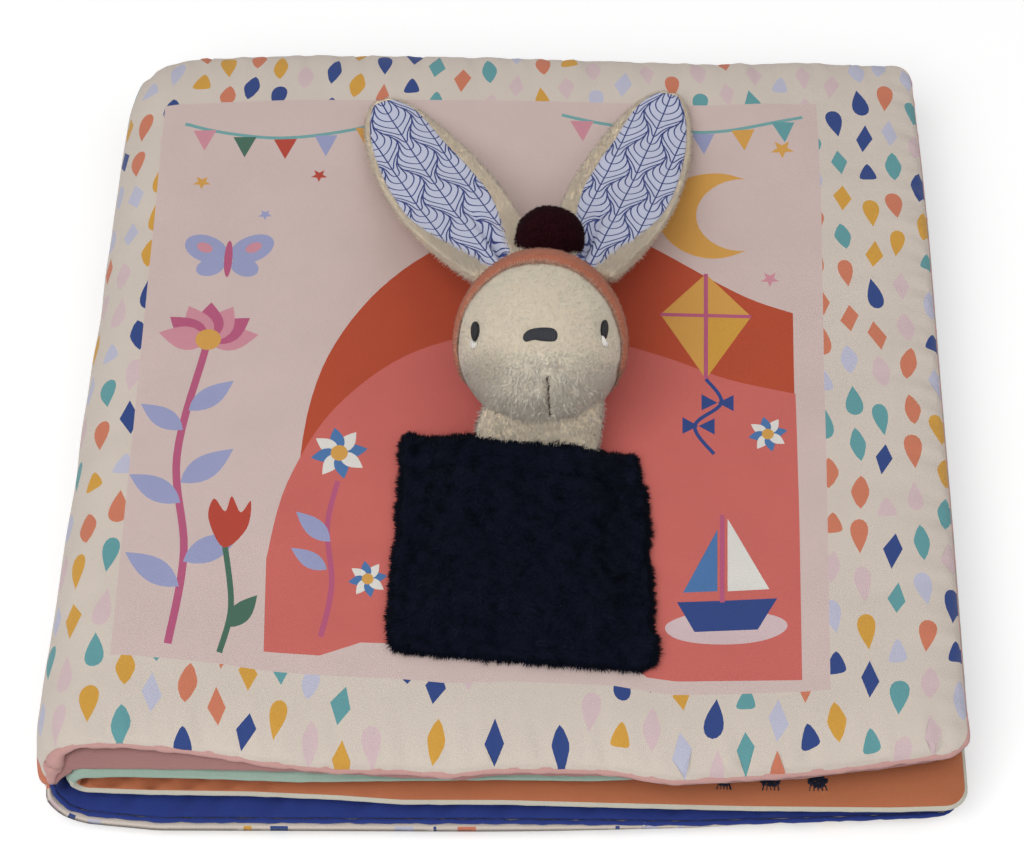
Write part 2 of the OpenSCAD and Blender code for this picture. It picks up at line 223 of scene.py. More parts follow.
def plush(name, scale, mottle, sheen, bump_m=0.0004, through=0.0, shine=0.2):
    """Short pile: every tuft takes the light a little differently."""
    mat, tree, shader, ink = new_material(name, 0.95, sheen, shine)
    shader.inputs["Subsurface Weight"].default_value = through
    shader.inputs["Subsurface Radius"].default_value = (1.0, 0.85, 0.7)
    shader.inputs["Subsurface Scale"].default_value = 0.0012
    space = tree.nodes.new("ShaderNodeTexCoord").outputs["Object"]
    fine, clump = noise(tree, space, scale, 3.0), noise(tree, space, scale / 6, 2.0)
    shade = maths(tree, "ADD", 1.0 - mottle * 0.5, maths(tree, "MULTIPLY", fine, mottle * 0.6))
    shade = maths(tree, "ADD", shade, maths(tree, "MULTIPLY", clump, mottle * 0.4))
    finish_material(tree, shader, ink, shade, maths(tree, "ADD", fine, clump), 0.5, bump_m)
    return mat


def satin(name):
    """Satin stitch: fine shiny threads side by side."""
    mat, tree, shader, ink = new_material(name, 0.55, 0.02, 0.3)
    space = tree.nodes.new("ShaderNodeTexCoord").outputs["Object"]
    across = add_node(tree, "ShaderNodeSeparateXYZ", {}, {0: space}).outputs[0]
    lines = maths(tree, "SINE", maths(tree, "MULTIPLY", across, 2 * math.pi / 0.0005))
    shade = maths(tree, "ADD", 0.9, maths(tree, "MULTIPLY", lines, 0.14))
    finish_material(tree, shader, ink, shade, lines, 0.6, 0.0001)
    return mat


# Meshes
def normals_of(v, t):
    n = np.zeros_like(v)
    face = np.cross(v[t[:, 1]] - v[t[:, 0]], v[t[:, 2]] - v[t[:, 0]])
    for k in range(3):
        np.add.at(n, t[:, k], face)
    return unit(n)


class Cloth:
    """Triangles with an ink for each and cloth coordinates for each corner, in millimetres."""

    def __init__(self):
        self.v, self.t, self.ink, self.uv, self.n = ([] for _ in range(5))
        self.count = 0

    def add(self, v, t, ink, uv=None, n=None):
        v, t = np.asarray(v, float), np.asarray(t, int)
        ink = np.asarray(ink, float)
        if ink.ndim == 1:
            ink = np.tile(ink, (len(t), 1))
        self.v.append(v)
        self.t.append(t + self.count)
        self.ink.append(ink)
        self.uv.append(np.asarray(uv, float) if uv is not None else v[:, :2])
        self.n.append(n if n is not None else normals_of(v, t))
        self.count += len(v)

    def piece(self, name, material, body, nodes=(), own_normals=False):
        v, t = np.concatenate(self.v), np.concatenate(self.t)
        ink, uv = np.concatenate(self.ink), np.concatenate(self.uv)
        me = bpy.data.meshes.new(name)
        me.vertices.add(len(v))
        me.vertices.foreach_set("co", (v * MM).ravel())
        me.loops.add(len(t) * 3)
        me.loops.foreach_set("vertex_index", t.ravel())
        me.polygons.add(len(t))
        me.polygons.foreach_set("loop_start", np.arange(0, len(t) * 3, 3))
        me.polygons.foreach_set("use_smooth", np.ones(len(t), bool))
        me.update(calc_edges=True)
        colour = me.color_attributes.new("ink", "FLOAT_COLOR", "CORNER")
        full = np.ones((len(t) * 3, 4))
        full[:, :3] = np.repeat(ink, 3, axis=0)
        colour.data.foreach_set("color", full.ravel())
        layer = me.uv_layers.new(name="cloth")
        layer.data.foreach_set("uv", (uv[t.ravel()] / 100).ravel())
        if own_normals:
            me.normals_split_custom_set_from_vertices(np.concatenate(self.n).tolist())
        me.materials.append(material)
        obj = bpy.data.objects.new(name, me)
        scene.collection.objects.link(obj)
        if body:
            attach(obj, body)
        if nodes:
            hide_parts(*nodes)
        return obj


def grid_tris(rows, cols, offset=0, flip=False):
    i, j = np.meshgrid(np.arange(rows - 1), np.arange(cols - 1), indexing="ij")
    a = (i * cols + j).ravel() + offset
    b, c, d = a + cols, a + cols + 1, a + 1
    t = np.concatenate([np.stack([a, b, c], 1), np.stack([a, c, d], 1)])
    return t[:, ::-1] if flip else t


def ring_of(rows, cols):
    """Border of a grid, anticlockwise for rows along the first axis and columns along the second."""
    return np.array([i * cols for i in range(rows)] + [(rows - 1) * cols + j for j in range(1, cols)]
                    + [i * cols + cols - 1 for i in range(rows - 2, -1, -1)]
                    + [j for j in range(cols - 2, 0, -1)])


def closed_solid(top, top_t, top_ring, rims, low, low_t, low_ring):
    """Joins two faces by loops of points. The rings run anticlockwise round the top."""
    verts = [top] + list(rims) + [low]
    starts = np.cumsum([0] + [len(v) for v in verts])
    loops = [top_ring] + [starts[k + 1] + np.arange(len(top_ring)) for k in range(len(rims))]
    loops.append(starts[-2] + low_ring)
    tris, tags = [top_t], [np.zeros(len(top_t), int)]
    for k in range(len(loops) - 1):
        a, b = loops[k], loops[k + 1]
        a2, b2 = np.roll(a, -1), np.roll(b, -1)
        tris.append(np.concatenate([np.stack([a, b, b2], 1), np.stack([a, b2, a2], 1)]))
        tags.append(np.full(2 * len(a), k + 1))
    tris.append(low_t[:, ::-1] + starts[-2])
    tags.append(np.full(len(low_t), -1))
    return np.concatenate(verts), np.concatenate(tris), np.concatenate(tags)


def outer_ring(tris):
    """The border of a triangulated face, as an ordered loop."""
    e = np.concatenate([tris[:, [0, 1]], tris[:, [1, 2]], tris[:, [2, 0]]])
    have = {(int(a), int(b)) for a, b in e}
    after = {a: b for a, b in have if (b, a) not in have}
    start = min(after)
    loop, at = [start], after[start]
    while at != start:
        loop.append(at)
        at = after[at]
    return np.array(loop)


def painted(outline, inner, shapes):
    """Triangles of a flat sheet in which every printed shape has its own faces."""
    points = [Vector(p) for p in outline]
    faces = [list(range(len(points)))]
    inks = [None]
    for poly, ink in shapes:
        p = np.array(poly)
        if np.sum(p[:, 0] * np.roll(p[:, 1], -1) - p[:, 1] * np.roll(p[:, 0], -1)) < 0:
            poly = poly[::-1]
        faces.append(list(range(len(points), len(points) + len(poly))))
        points += [Vector(p) for p in poly]
        inks.append(ink)
    points += [Vector(p) for p in inner]
    v, _, f, _, _, source = delaunay_2d_cdt(points, [], faces, 1, 1e-4, True)
    keep, ink = [], []
    for tri, src in zip(f, source):
        if 0 in src:
            keep.append(tri)
            ink.append(inks[max(src)])
    return np.array([(p.x, p.y) for p in v]), np.array(keep), ink


def compact(v, t):
    used = np.unique(t)
    index = np.full(len(v), -1)
    index[used] = np.arange(len(used))
    return v[used], index[t]


def waves(x, y, length, seed, count=7):
    rng = np.random.default_rng(seed)
    out = np.zeros(np.broadcast(x, y).shape)
    for _ in range(count):
        th, size, ph = rng.uniform(0, math.pi), length * rng.uniform(0.7, 1.5), rng.uniform(0, 6.28)
        out += np.sin(6.2832 * (x * math.cos(th) + y * math.sin(th)) / size + ph)
    return out / math.sqrt(count)


def along_waves(t, lengths, seed):
    rng = np.random.default_rng(seed)
    out = np.zeros_like(np.asarray(t, float))
    for size in lengths:
        out += np.sin(6.2832 * t / size + rng.uniform(0, 6.28)) * rng.uniform(0.6, 1.0)
    return out / math.sqrt(len(lengths))


def smooth(t):
    c = np.clip(t, 0, 1)
    return c * c * (3 - 2 * c)


def unit(v):
    return v / np.maximum(np.linalg.norm(v, axis=-1, keepdims=True), 1e-12)


def out_of(outline):
    """The way out of a flat outline at each of its points."""
    tangent = unit(np.roll(outline, -1, 0) - np.roll(outline, 1, 0))
    return np.stack([tangent[:, 1], -tangent[:, 0]], 1)


def level_way(points, centre):
    """The level direction from a centre to each of the points."""
    return unit((points - np.array(centre)) * np.array([1, 1, 0]))


def signed_volume(v, t):
    m = v.mean(axis=0)
    return np.einsum("ij,ij->i", v[t[:, 0]] - m, np.cross(v[t[:, 1]] - m, v[t[:, 2]] - m)).sum()


def facing_out(v, t):
    return t[:, ::-1] if signed_volume(v, t) < 0 else t


def swell(d, run=15.0):
    return np.sqrt(1 - (1 - np.clip(d, 0, run) / run) ** 2)


# The tufts of a pile
def scatter(v, t, n, count, rng, weight=None):
    """Random places on a mesh, with the direction out of it."""
    area = np.linalg.norm(np.cross(v[t[:, 1]] - v[t[:, 0]], v[t[:, 2]] - v[t[:, 0]]), axis=1)
    if weight is not None:
        area = area * weight
    pick = rng.choice(len(t), count, p=area / area.sum())
    a, b = rng.random(count), rng.random(count)
    over = a + b > 1
    a[over], b[over] = 1 - a[over], 1 - b[over]
    k = [1 - a - b, a, b]
    place = sum(k[i][:, None] * v[t[pick, i]] for i in range(3))
    out = sum(k[i][:, None] * n[t[pick, i]] for i in range(3))
    return place, unit(out)


def tufts(cloth, place, out, comb, length, width, rng, ink, vary=0.25, lean=1.0, soft=0.35):
    """Each tuft is a thin closed spike that leans the way the pile is combed."""
    count = len(place)
    comb = np.broadcast_to(comb, out.shape)
    flat = comb - out * np.sum(comb * out, axis=1, keepdims=True)
    wild = rng.normal(size=out.shape)
    wild -= out * np.sum(wild * out, axis=1, keepdims=True)
    way = out + flat * lean + wild * 0.45
    way = unit(way)
    side = unit(np.cross(out, wild))
    other = np.cross(out, side)
    size = np.broadcast_to(length, (count,)) * rng.uniform(0.6, 1.2, count)
    half = np.broadcast_to(width, (count,)) / 2
    v = np.empty((count, 4, 3))
    for k in range(3):
        th = 2.0944 * k
        v[:, k] = place - out * 0.12 + (side * math.cos(th) + other * math.sin(th)) * half[:, None]
    v[:, 3] = place + way * size[:, None]
    base = np.arange(count)[:, None] * 4
    t = np.concatenate([base + np.array(f) for f in ((0, 1, 3), (1, 2, 3), (2, 0, 3), (0, 2, 1))],
                       axis=1).reshape(-1, 3)
    n = unit(out + rng.normal(size=out.shape) * soft * 0.5 + way * 0.08)
    shade = 1 + (rng.random(count) - 0.5) * 2 * vary
    ink = np.asarray(ink, float)
    if ink.ndim == 1:
        ink = np.tile(ink, (count, 1))
    cloth.add(v.reshape(-1, 3), t, np.repeat(ink * shade[:, None], 4, axis=0), n=np.repeat(n, 4, axis=0))


# The folded sheets
FOLD_X, FOLD_Z, HALF_L = -98.05, 13.7, 109.5
COVER_R, LEAF_R, FULL_R = 8.7, 3.5, 13.7
COVER_FREE, LEAF_FREE = 110.75, 111.75
ARC = FULL_R * math.pi / 2
COVER_END = ARC + COVER_FREE - FOLD_X
LEAF_ARC = 8.0
LEAF_END = LEAF_ARC + LEAF_FREE - FOLD_X
CORNER_R, MID_Y, SLIDE = 5.0, 1.25, 7.5


def table(pairs):
    a = np.array(sorted(pairs), float)
    return lambda t: np.interp(t, a[:, 0], a[:, 1])


def on_s(pairs, side):
    return [(side * (x + 98.05 + ARC), y) for x, y in pairs]


# Where the edges of the covers and leaves lie, from the photograph: (place across, place in Y)
front_edge = table(on_s([(-98, -106.6), (-90, -106.2), (-78, -106.8), (-66, -107.9), (-57, -109.3),
                         (-47, -110.1), (-38, -110.7), (-24, -110.6), (-12, -111.4), (-2, -109.9),
                         (13, -109.6), (26, -109.8), (34, -111.2), (41, -112.1), (57, -110.8),
                         (69, -109.7), (81, -108.2), (92, -106.4), (104, -104.7), (111, -103.2)], 1)
                   + on_s([(-98, -114.8), (-82, -116.1), (-48, -115.6), (0, -114.9), (47, -114.5),
                           (71, -113.3), (95, -112.0), (111, -110.8)], -1)
                   + [(12, -107.6), (6, -109.2), (0, -110.8), (-6, -112.4), (-12, -113.7)])
far_edge = table(on_s([(-98, 113.0), (-92, 114.6), (-63, 116.5), (-35, 116.8), (-6, 116.6), (23, 115.9),
                       (52, 115.2), (66, 115.6), (81, 116.4), (98, 115.5), (111, 116.3)], 1)
                 + on_s([(-98, 105.8), (-60, 108.4), (0, 109.0), (80, 108.4), (111, 107.2)], -1)
                 + [(12, 110.6), (0, 108.4), (-12, 106.4)])
lining_edge = table([(0, -111.6), (8, -111.2), (15, -110.4), (21.5, -110.0), (36, -109.9), (50, -110.1),
                     (62, -110.6), (74, -111.0), (90, -111.6), (110, -112.2), (119, -110.7), (146, -110.6),
                     (160, -112.8), (190, -110.5), (212, -107.3), (231, -104.0)])
leaf1_front = table([(-104, -111.0), (-90, -110.2), (-71, -110.3), (-48, -110.8), (-24, -110.0), (0, -109.3),
                     (23, -109.2), (34, -108.4), (60, -105.8), (90, -102.8), (112, -101.0)])
leaf2_front = table([(-104, -110.8), (-84, -111.3), (-60, -111.2), (-39, -111.8), (-24, -112.7), (0, -112.3),
                     (30, -112.6), (60, -112.8), (94, -112.5), (112, -111.6)])
edge_dx = table([(-108, -2.3), (-85, -1.85), (-62, -1.25), (-39, -0.65), (-18, -0.25), (4, 0.15), (31, 0.75),
                 (58, 1.35), (84, 1.45), (111, 1.2)])


def half_l(d_free):
    d = np.clip(d_free, 0, CORNER_R)
    return HALF_L - CORNER_R + np.sqrt(np.maximum(0, CORNER_R ** 2 - (CORNER_R - d) ** 2))


def station(s, r, arc):
    """Middle line of a folded sheet at a distance s from the middle of the spine."""
    side = np.where(s >= 0, 1.0, -1.0)
    a = np.abs(s)
    ang = math.pi - np.minimum(a, arc) / arc * math.pi / 2
    x = FOLD_X + r * np.cos(ang) + np.maximum(a - arc, 0)
    z = FOLD_Z + side * r * np.sin(ang)
    slide = side * SLIDE / 2 * np.minimum(a, arc) / arc
    return x, z, np.cos(ang), side * np.sin(ang), slide


def place_sheet(s, y, n, r, arc, front, far):
    """A point on a folded sheet: n is its height off the middle line."""
    x, z, nx, nz, slide = station(s, r, arc)
    mid = slide + MID_Y
    k = np.abs(y) / HALF_L
    yy = np.where(y < 0, mid + k * (front - mid), mid + k * (far - mid))
    shift = edge_dx(yy) * smooth((x + 40) / 150)
    return np.stack([x + nx * n + shift, yy, z + nz * n], -1)


RINGS = np.array([0, 0.15, 0.45, 0.9, 1.6, 2.5, 3.6, 4.9, 6.3])


def spaced(low, high, step):
    return np.linspace(low, high, max(2, int(round((high - low) / step)) + 1))


# The print
def ellipse(x, y, a, b, turn=0.0, steps=28):
    th = np.linspace(0, 2 * math.pi, steps, endpoint=False)
    c, s = math.cos(math.radians(turn)), math.sin(math.radians(turn))
    px, py = a * np.cos(th), b * np.sin(th)
    return [(x + u * c - w * s, y + u * s + w * c) for u, w in zip(px, py)]


def leaf(x, y, length, wide, turn, steps=9):
    """A leaf with a point at both ends, its foot at x, y."""
    c, s = math.cos(math.radians(turn)), math.sin(math.radians(turn))
    pts = [(t, wide / 2 * math.sin(math.pi * t ** 0.85)) for t in np.linspace(0, 1, steps)]
    both = pts + [(t, -w) for t, w in pts[-2:0:-1]]
    return [(x + t * length * c - w * s, y + t * length * s + w * c) for t, w in both]


def ribbon(points, wide):
    """A line of even width through the points."""
    p = np.array(points, float)
    d = np.gradient(p, axis=0)
    d /= np.linalg.norm(d, axis=1, keepdims=True)
    n = np.stack([-d[:, 1], d[:, 0]], 1) * wide / 2
    return [tuple(q) for q in p + n] + [tuple(q) for q in (p - n)[::-1]]


def spline(points, steps=6, shut=True):
    p = [np.array(q, float) for q in points]
    out, n = [], len(p)
    for i in range(n if shut else n - 1):
        a, b = p[i], p[(i + 1) % n]
        before = p[i - 1] if shut or i > 0 else a
        after = p[(i + 2) % n] if shut or i + 2 < n else b
        for t in np.linspace(0, 1, steps, endpoint=False):
            out.append(tuple(0.5 * (2 * a + (b - before) * t + (2 * before - 5 * a + 4 * b - after) * t * t
                                    + (3 * a - before - 3 * b + after) * t ** 3)))
    if not shut:
        out.append(tuple(p[-1]))
    return out


def drop(w, h):
    t = np.linspace(0, 2 * math.pi, 18, endpoint=False)
    x = np.sin(t) * np.sin(t / 2) ** 1.3
    return [(a / 1.52 * w, b * h / 2) for a, b in zip(x, np.cos(t))]


def confetti(rng, keep):
    """Drops, leaves and lozenges, as if cut out by hand, in staggered columns."""
    shapes = []
    gay = [("navy", 5), ("brick", 5), ("teal", 5), ("gold", 4), ("lilac", 5), ("blush", 5)]
    names = [k for k, c in gay for _ in range(c)]
    for k in range(-31, 32):
        for m in range(-9, 10):
            x = k * 7.4 + rng.uniform(-0.6, 0.6)
            y = (m + (0.5 if k % 2 else 0)) * 13.4 + (k * 1.7) % 5 + rng.uniform(-1.1, 1.1)
            kind, ink = rng.integers(0, 10), names[rng.integers(0, len(names))]
            if ink == "brick" and y < -86 and kind % 2:
                ink = "gold"
            w, h = rng.uniform(4.2, 5.1), rng.uniform(8.6, 10.4)
            turn = math.radians(rng.uniform(-9, 9))
            a, b, c, d = rng.uniform(-1, 1, 4)
            if kind <= 2:
                poly = drop(w, h * (-1 if kind else 1))
            elif kind <= 5:
                poly = [(0.4 * a, h / 2), (w / 2, 1.2 * b), (0.4 * c, -h / 2), (-w / 2, 1.2 * d)]
            elif kind <= 8:
                poly = spline([(0.3 * a, h / 2), (w * 0.38, h * (0.2 + 0.05 * b)), (w * 0.45, -h * 0.08),
                               (0.3 * c, -h / 2), (-w * 0.43, -h * (0.14 + 0.06 * d)),
                               (-w * 0.42, h * 0.14)], 2)
            else:
                poly = spline([(0, h * 0.34), (w * 0.5, -h * 0.16), (0.1, -h * 0.27),
                               (-w * 0.5, -h * 0.2)], 4)
            co, si = math.cos(turn), math.sin(turn)
            poly = [(x + p * co - q * si, y + p * si + q * co) for p, q in poly]
            if keep(x, y, poly):
                shapes.append((poly, ink))
    return shapes


PANEL = [(20.2, 88.8), (202.3, 90.8), (198.1, -92.0), (25.6, -87.7)]


def in_panel(u, v):
    """From the picture's own 0..1 across and 0..1 up to the sheet."""
    tl, tr, br, bl = (np.array(p) for p in PANEL)
    low, high = bl + (br - bl) * u, tl + (tr - tl) * u
    return tuple(low + (high - low) * v)


def picture():
    """Hills, a crescent, bunting, flowers, a kite and a boat: plain shapes in flat colours."""
    out = []

    def put(poly, ink):
        out.append(([in_panel(a / 180, b / 180) for a, b in poly], ink))

    edge = [(0, 180)] + [(k, 180) for k in range(20, 180, 20)] + [(180, 180)]
    edge += [(180, k) for k in range(160, 0, -20)] + [(180, 0)] + [(k, 0) for k in range(160, 0,
                                                                                         -20)] + [(0, 0)]
    edge += [(0, k) for k in range(20, 180, 20)]
    put(edge, "field")
    # two hills, the far one rust and the near one coral, cut level at their foot
    put(spline([(43, 30), (45, 72), (53, 98), (68, 119), (88, 133), (108, 137), (128, 132), (146, 121),
                (160, 112), (172, 107)],
               6, False) + [(172.4, 30)], "rust")
    put([(38, 5)] + spline([(37, 30), (41, 52), (52, 74), (70, 91), (92, 99), (114, 99), (136, 93),
                            (155, 86), (172.4, 82)], 6, False)
        + [(172.8, 44), (173, 3), (134, 3.5), (126, 9), (62, 9), (52, 5)], "coral")
    # crescent and stars
    moon = [(151 + 15 * math.cos(t), 140 + 15 * math.sin(t)) for t in np.linspace(math.radians(62),
                                                                                  math.radians(298), 26)]
    bite = [(159 + 12.6 * math.cos(t), 140 + 12.6 * math.sin(t)) for t in np.linspace(math.radians(274),
                                                                                      math.radians(86), 22)]
    put(moon + bite, "amber")
    stars = [(122, 158, 3.0, "peri"), (170, 163, 3.4, "amber"), (166, 118, 2.6, "pink"),
             (131, 172, 2.0, "amber"), (12, 150, 2.6, "amber"), (30, 138, 2.0, "peri"), (44, 152, 2.4, "red")]
    for x, y, r, ink in stars:
        arms = [(r if k % 2 else r * 0.42, k * math.pi / 5) for k in range(10)]
        put([(x + reach * math.sin(a), y + reach * math.cos(a)) for reach, a in arms], ink)
    # bunting
    for x0, x1, top, sag in ((6, 62, 172, 6), (110, 176, 175, 5)):
        put(ribbon([(x0 + (x1 - x0) * t, top - sag * 4 * t * (1 - t)) for t in np.linspace(0, 1, 20)],
                   1.1), "line")
        count = int((x1 - x0) / 10)
        for k in range(count):
            t = (k + 0.5) / count
            x, y = x0 + (x1 - x0) * t, top - sag * 4 * t * (1 - t) - 0.5
            ink = ("pink", "green", "red", "peri", "amber", "teal")[k % 6]
            put([(x - 3.2, y), (x + 3.2, y), (x + 0.3, y - 7.6)], ink)
    # tall flower stems on the left
    stem = spline([(14, 4), (16, 30), (12, 58), (17, 92)], 8, False)
    put(ribbon(stem, 2.0), "plum")
    for x, y, l, w, a in ((15.5, 20, 17, 7, 148), (16, 27, 17, 7, 34), (14, 44, 16, 7, 150),
                          (13.5, 50, 17, 7, 40), (13, 66, 14, 6, 146), (14, 72, 15, 6, 42)):
        put(leaf(x, y, l, w, a), "peri")
    for k in range(7):
        put(leaf(17.5, 94, 13.5, 7.6, 90 + (k - 3) * 26), "plum" if k % 2 else "pink")
    put(ellipse(17.5, 95, 3.4, 3.4, steps=18), "amber")
    put(ribbon(spline([(27, 3), (29, 16), (26, 34)], 8, False), 1.5), "green")
    put(leaf(28.5, 10, 12, 5, 55), "green")
    put(spline([(26, 32), (21.5, 40), (22.5, 46), (25.6, 42.5), (27, 47), (29.6, 42.5), (32, 46),
                (31.5, 38)], 5), "red")
    # butterfly
    for side in (-1, 1):
        put(ellipse(21 + side * 6.2, 126, 6.4, 4.4, side * 34), "peri")
        put(ellipse(21 + side * 4.6, 119.6, 4.0, 3.0, -side * 28), "peri")
        put(ellipse(21 + side * 6.6, 126.4, 2.4, 1.6, side * 34, 16), "pink")
    put(ellipse(21, 122.5, 1.1, 6.4, steps=18), "plum")
    # daisies on the coral hill
    for x, y, r in ((54, 61, 7.5), (63, 26, 5.0), (165, 70, 5.2)):
        for k in range(8):
            put(leaf(x, y, r, r * 0.52, 45 * k + 12, 7), "white" if k % 2 else "blue")
        put(ellipse(x, y, r * 0.3, r * 0.3, steps=16), "amber")
    put(ribbon(spline([(54, 53), (52, 40), (54, 24), (52, 10)], 8, False), 1.4), "plum")
    put(leaf(53, 36, 12, 5, 140), "peri")
    put(leaf(52.6, 28, 11, 4.6, 150), "peri")
    # kite
    kx, ky = 149, 103
    put([(kx, ky + 17), (kx + 12, ky + 3), (kx, ky - 17), (kx - 12, ky + 3)], "amber")
    put([(kx, ky + 3), (kx + 12, ky + 3), (kx, ky - 17)], "gold")
    put(ribbon([(kx - 12, ky + 3), (kx, ky + 3), (kx + 12, ky + 3)], 1.1), "plum")
    put(ribbon([(kx, ky + 17), (kx, ky), (kx, ky - 17)], 1.1), "plum")
    tail = spline([(kx, ky - 17), (kx + 4, ky - 24), (kx - 3, ky - 31), (kx + 2, ky - 39)], 7, False)
    put(ribbon(tail, 1.0), "navy")
    for x, y in ((kx + 3, ky - 24), (kx - 2, ky - 31)):
        put([(x, y), (x + 4.2, y + 2.4), (x + 4.2, y - 2.4)], "navy")
        put([(x, y), (x - 4.2, y + 2.4), (x - 4.2, y - 2.4)], "navy")
    # boat on a pale pond
    put(ellipse(154, 17, 15.5, 4.4, 1, 40), "blush")
    put([(141.5, 23.5), (167, 24.5), (162, 16.5), (146, 16)], "navy")
    put(ribbon([(153, 23.5), (153, 33), (153, 47)], 1.2), "plum")
    put([(154.4, 46), (154.4, 26.5), (165, 27)], "white")
    put([(151.8, 43), (151.8, 26.5), (143, 26)], "blue")
    return out


# The cover
def cover_place(s, y, n):
    p = place_sheet(s, y, n, COVER_R, ARC, front_edge(s), far_edge(s))
    p[..., 2] = np.maximum(p[..., 2], 0)  # the table presses its lower side flat
    return p


CREASES = [  # from s, y to s, y on the cover, height, half width
    (144, -58, 186, -63, -0.38, 3.0), (146, -72, 192, -77, -0.34, 3.4), (92, -52, 66, -56, -0.34, 3.0),
    (92, -70, 64, -75, -0.36, 3.2), (198, 66, 226, 68, -0.36, 2.6), (200, 30, 228, 33, -0.38, 2.8),
    (204, -4, 229, -1, -0.38, 2.8), (206, -36, 229, -37, -0.4, 3.0), (200, -68, 229, -64, -0.36, 2.8),
    (30, 44, 6, 49, -0.36, 3.6), (32, -20, 4, -27, -0.38, 4.0), (28, -66, 2, -80, -0.42, 4.0),
    (40, 10, 8, 6, 0.3, 5.0), (60, 106, 70, 84, -0.3, 3.4), (192, 106, 200, 80, -0.42, 4.2),
    (150, 100, 146, 84, 0.28, 4.0), (212, 50, 229, 47, 0.25, 3.0), (24, 80, 4, 90, -0.34, 4.0),
]


def crease(s, y):
    out = np.zeros(np.broadcast(s, y).shape)
    for x0, y0, x1, y1, high, wide in CREASES:
        dx, dy = x1 - x0, y1 - y0
        k = np.clip(((s - x0) * dx + (y - y0) * dy) / (dx * dx + dy * dy), 0, 1)
        gap = np.hypot(s - x0 - k * dx, y - y0 - k * dy)
        out += high * np.exp(-(gap / wide) ** 2) * np.sin(math.pi * np.clip(k, 0.04, 0.96))
    return out


def cover_top(s, y):
    """Height of the printed cloth over the seam's level."""
    d_free = COVER_END - np.abs(s)
    d_side = np.maximum(half_l(d_free) - np.abs(y), 0)
    k = swell(d_free) * swell(d_side)
    n = 0.8 + 4.2 * k
    side_pull = np.exp(-d_side / 5.5) * (1 - np.exp(-d_side / 0.8))
    free_pull = np.exp(-d_free / 5.5) * (1 - np.exp(-d_free / 0.8))
    n += 0.75 * side_pull * along_waves(s + 0.18 * y, (5.3, 7.9, 11.7, 17.0), 3)
    n += 0.75 * free_pull * along_waves(y + 0.2 * s, (6.1, 9.3, 13.9, 21.0), 4)
    lie = 1 - smooth((46 - np.abs(s - 125)) / 14)
    n += (0.34 * waves(s, y, 74, 11) + 0.13 * waves(s, y, 26, 12)) * k * (0.25 + 0.75 * lie)
    n += crease(s, y) * k
    front = (s > 0) & (y < 0)
    lift = np.where(front, 2.6 * (1 - swell(d_side, 22)) * (1 - smooth((s - ARC) / 62))
                    * smooth((s - 4) / 16), 0)
    ends = np.where(front, 0.7 * (1 - swell(d_side, 20)) * smooth((s - 205) / 22), 0)
    return n + lift + ends


def sheet_columns(end, step):
    inner = spaced(-end + RINGS[-1], end - RINGS[-1], step)
    return np.concatenate([-end + RINGS[:-1], inner, (end - RINGS[:-1])[::-1]])


def sheet_rows(hl, step, limit):
    inner = spaced(-limit, limit, step)
    return inner[np.abs(inner) < hl - RINGS[-1] - 0.4]


def print_normal(s, y, step=0.5):
    """The way the printed cloth faces, so that thin triangles beside a shape's edge don't show."""
    def at(a, b):
        return cover_place(a, b, cover_top(a, b))

    return unit(np.cross(at(s + step, y) - at(s - step, y), at(s, y + step) - at(s, y - step)))


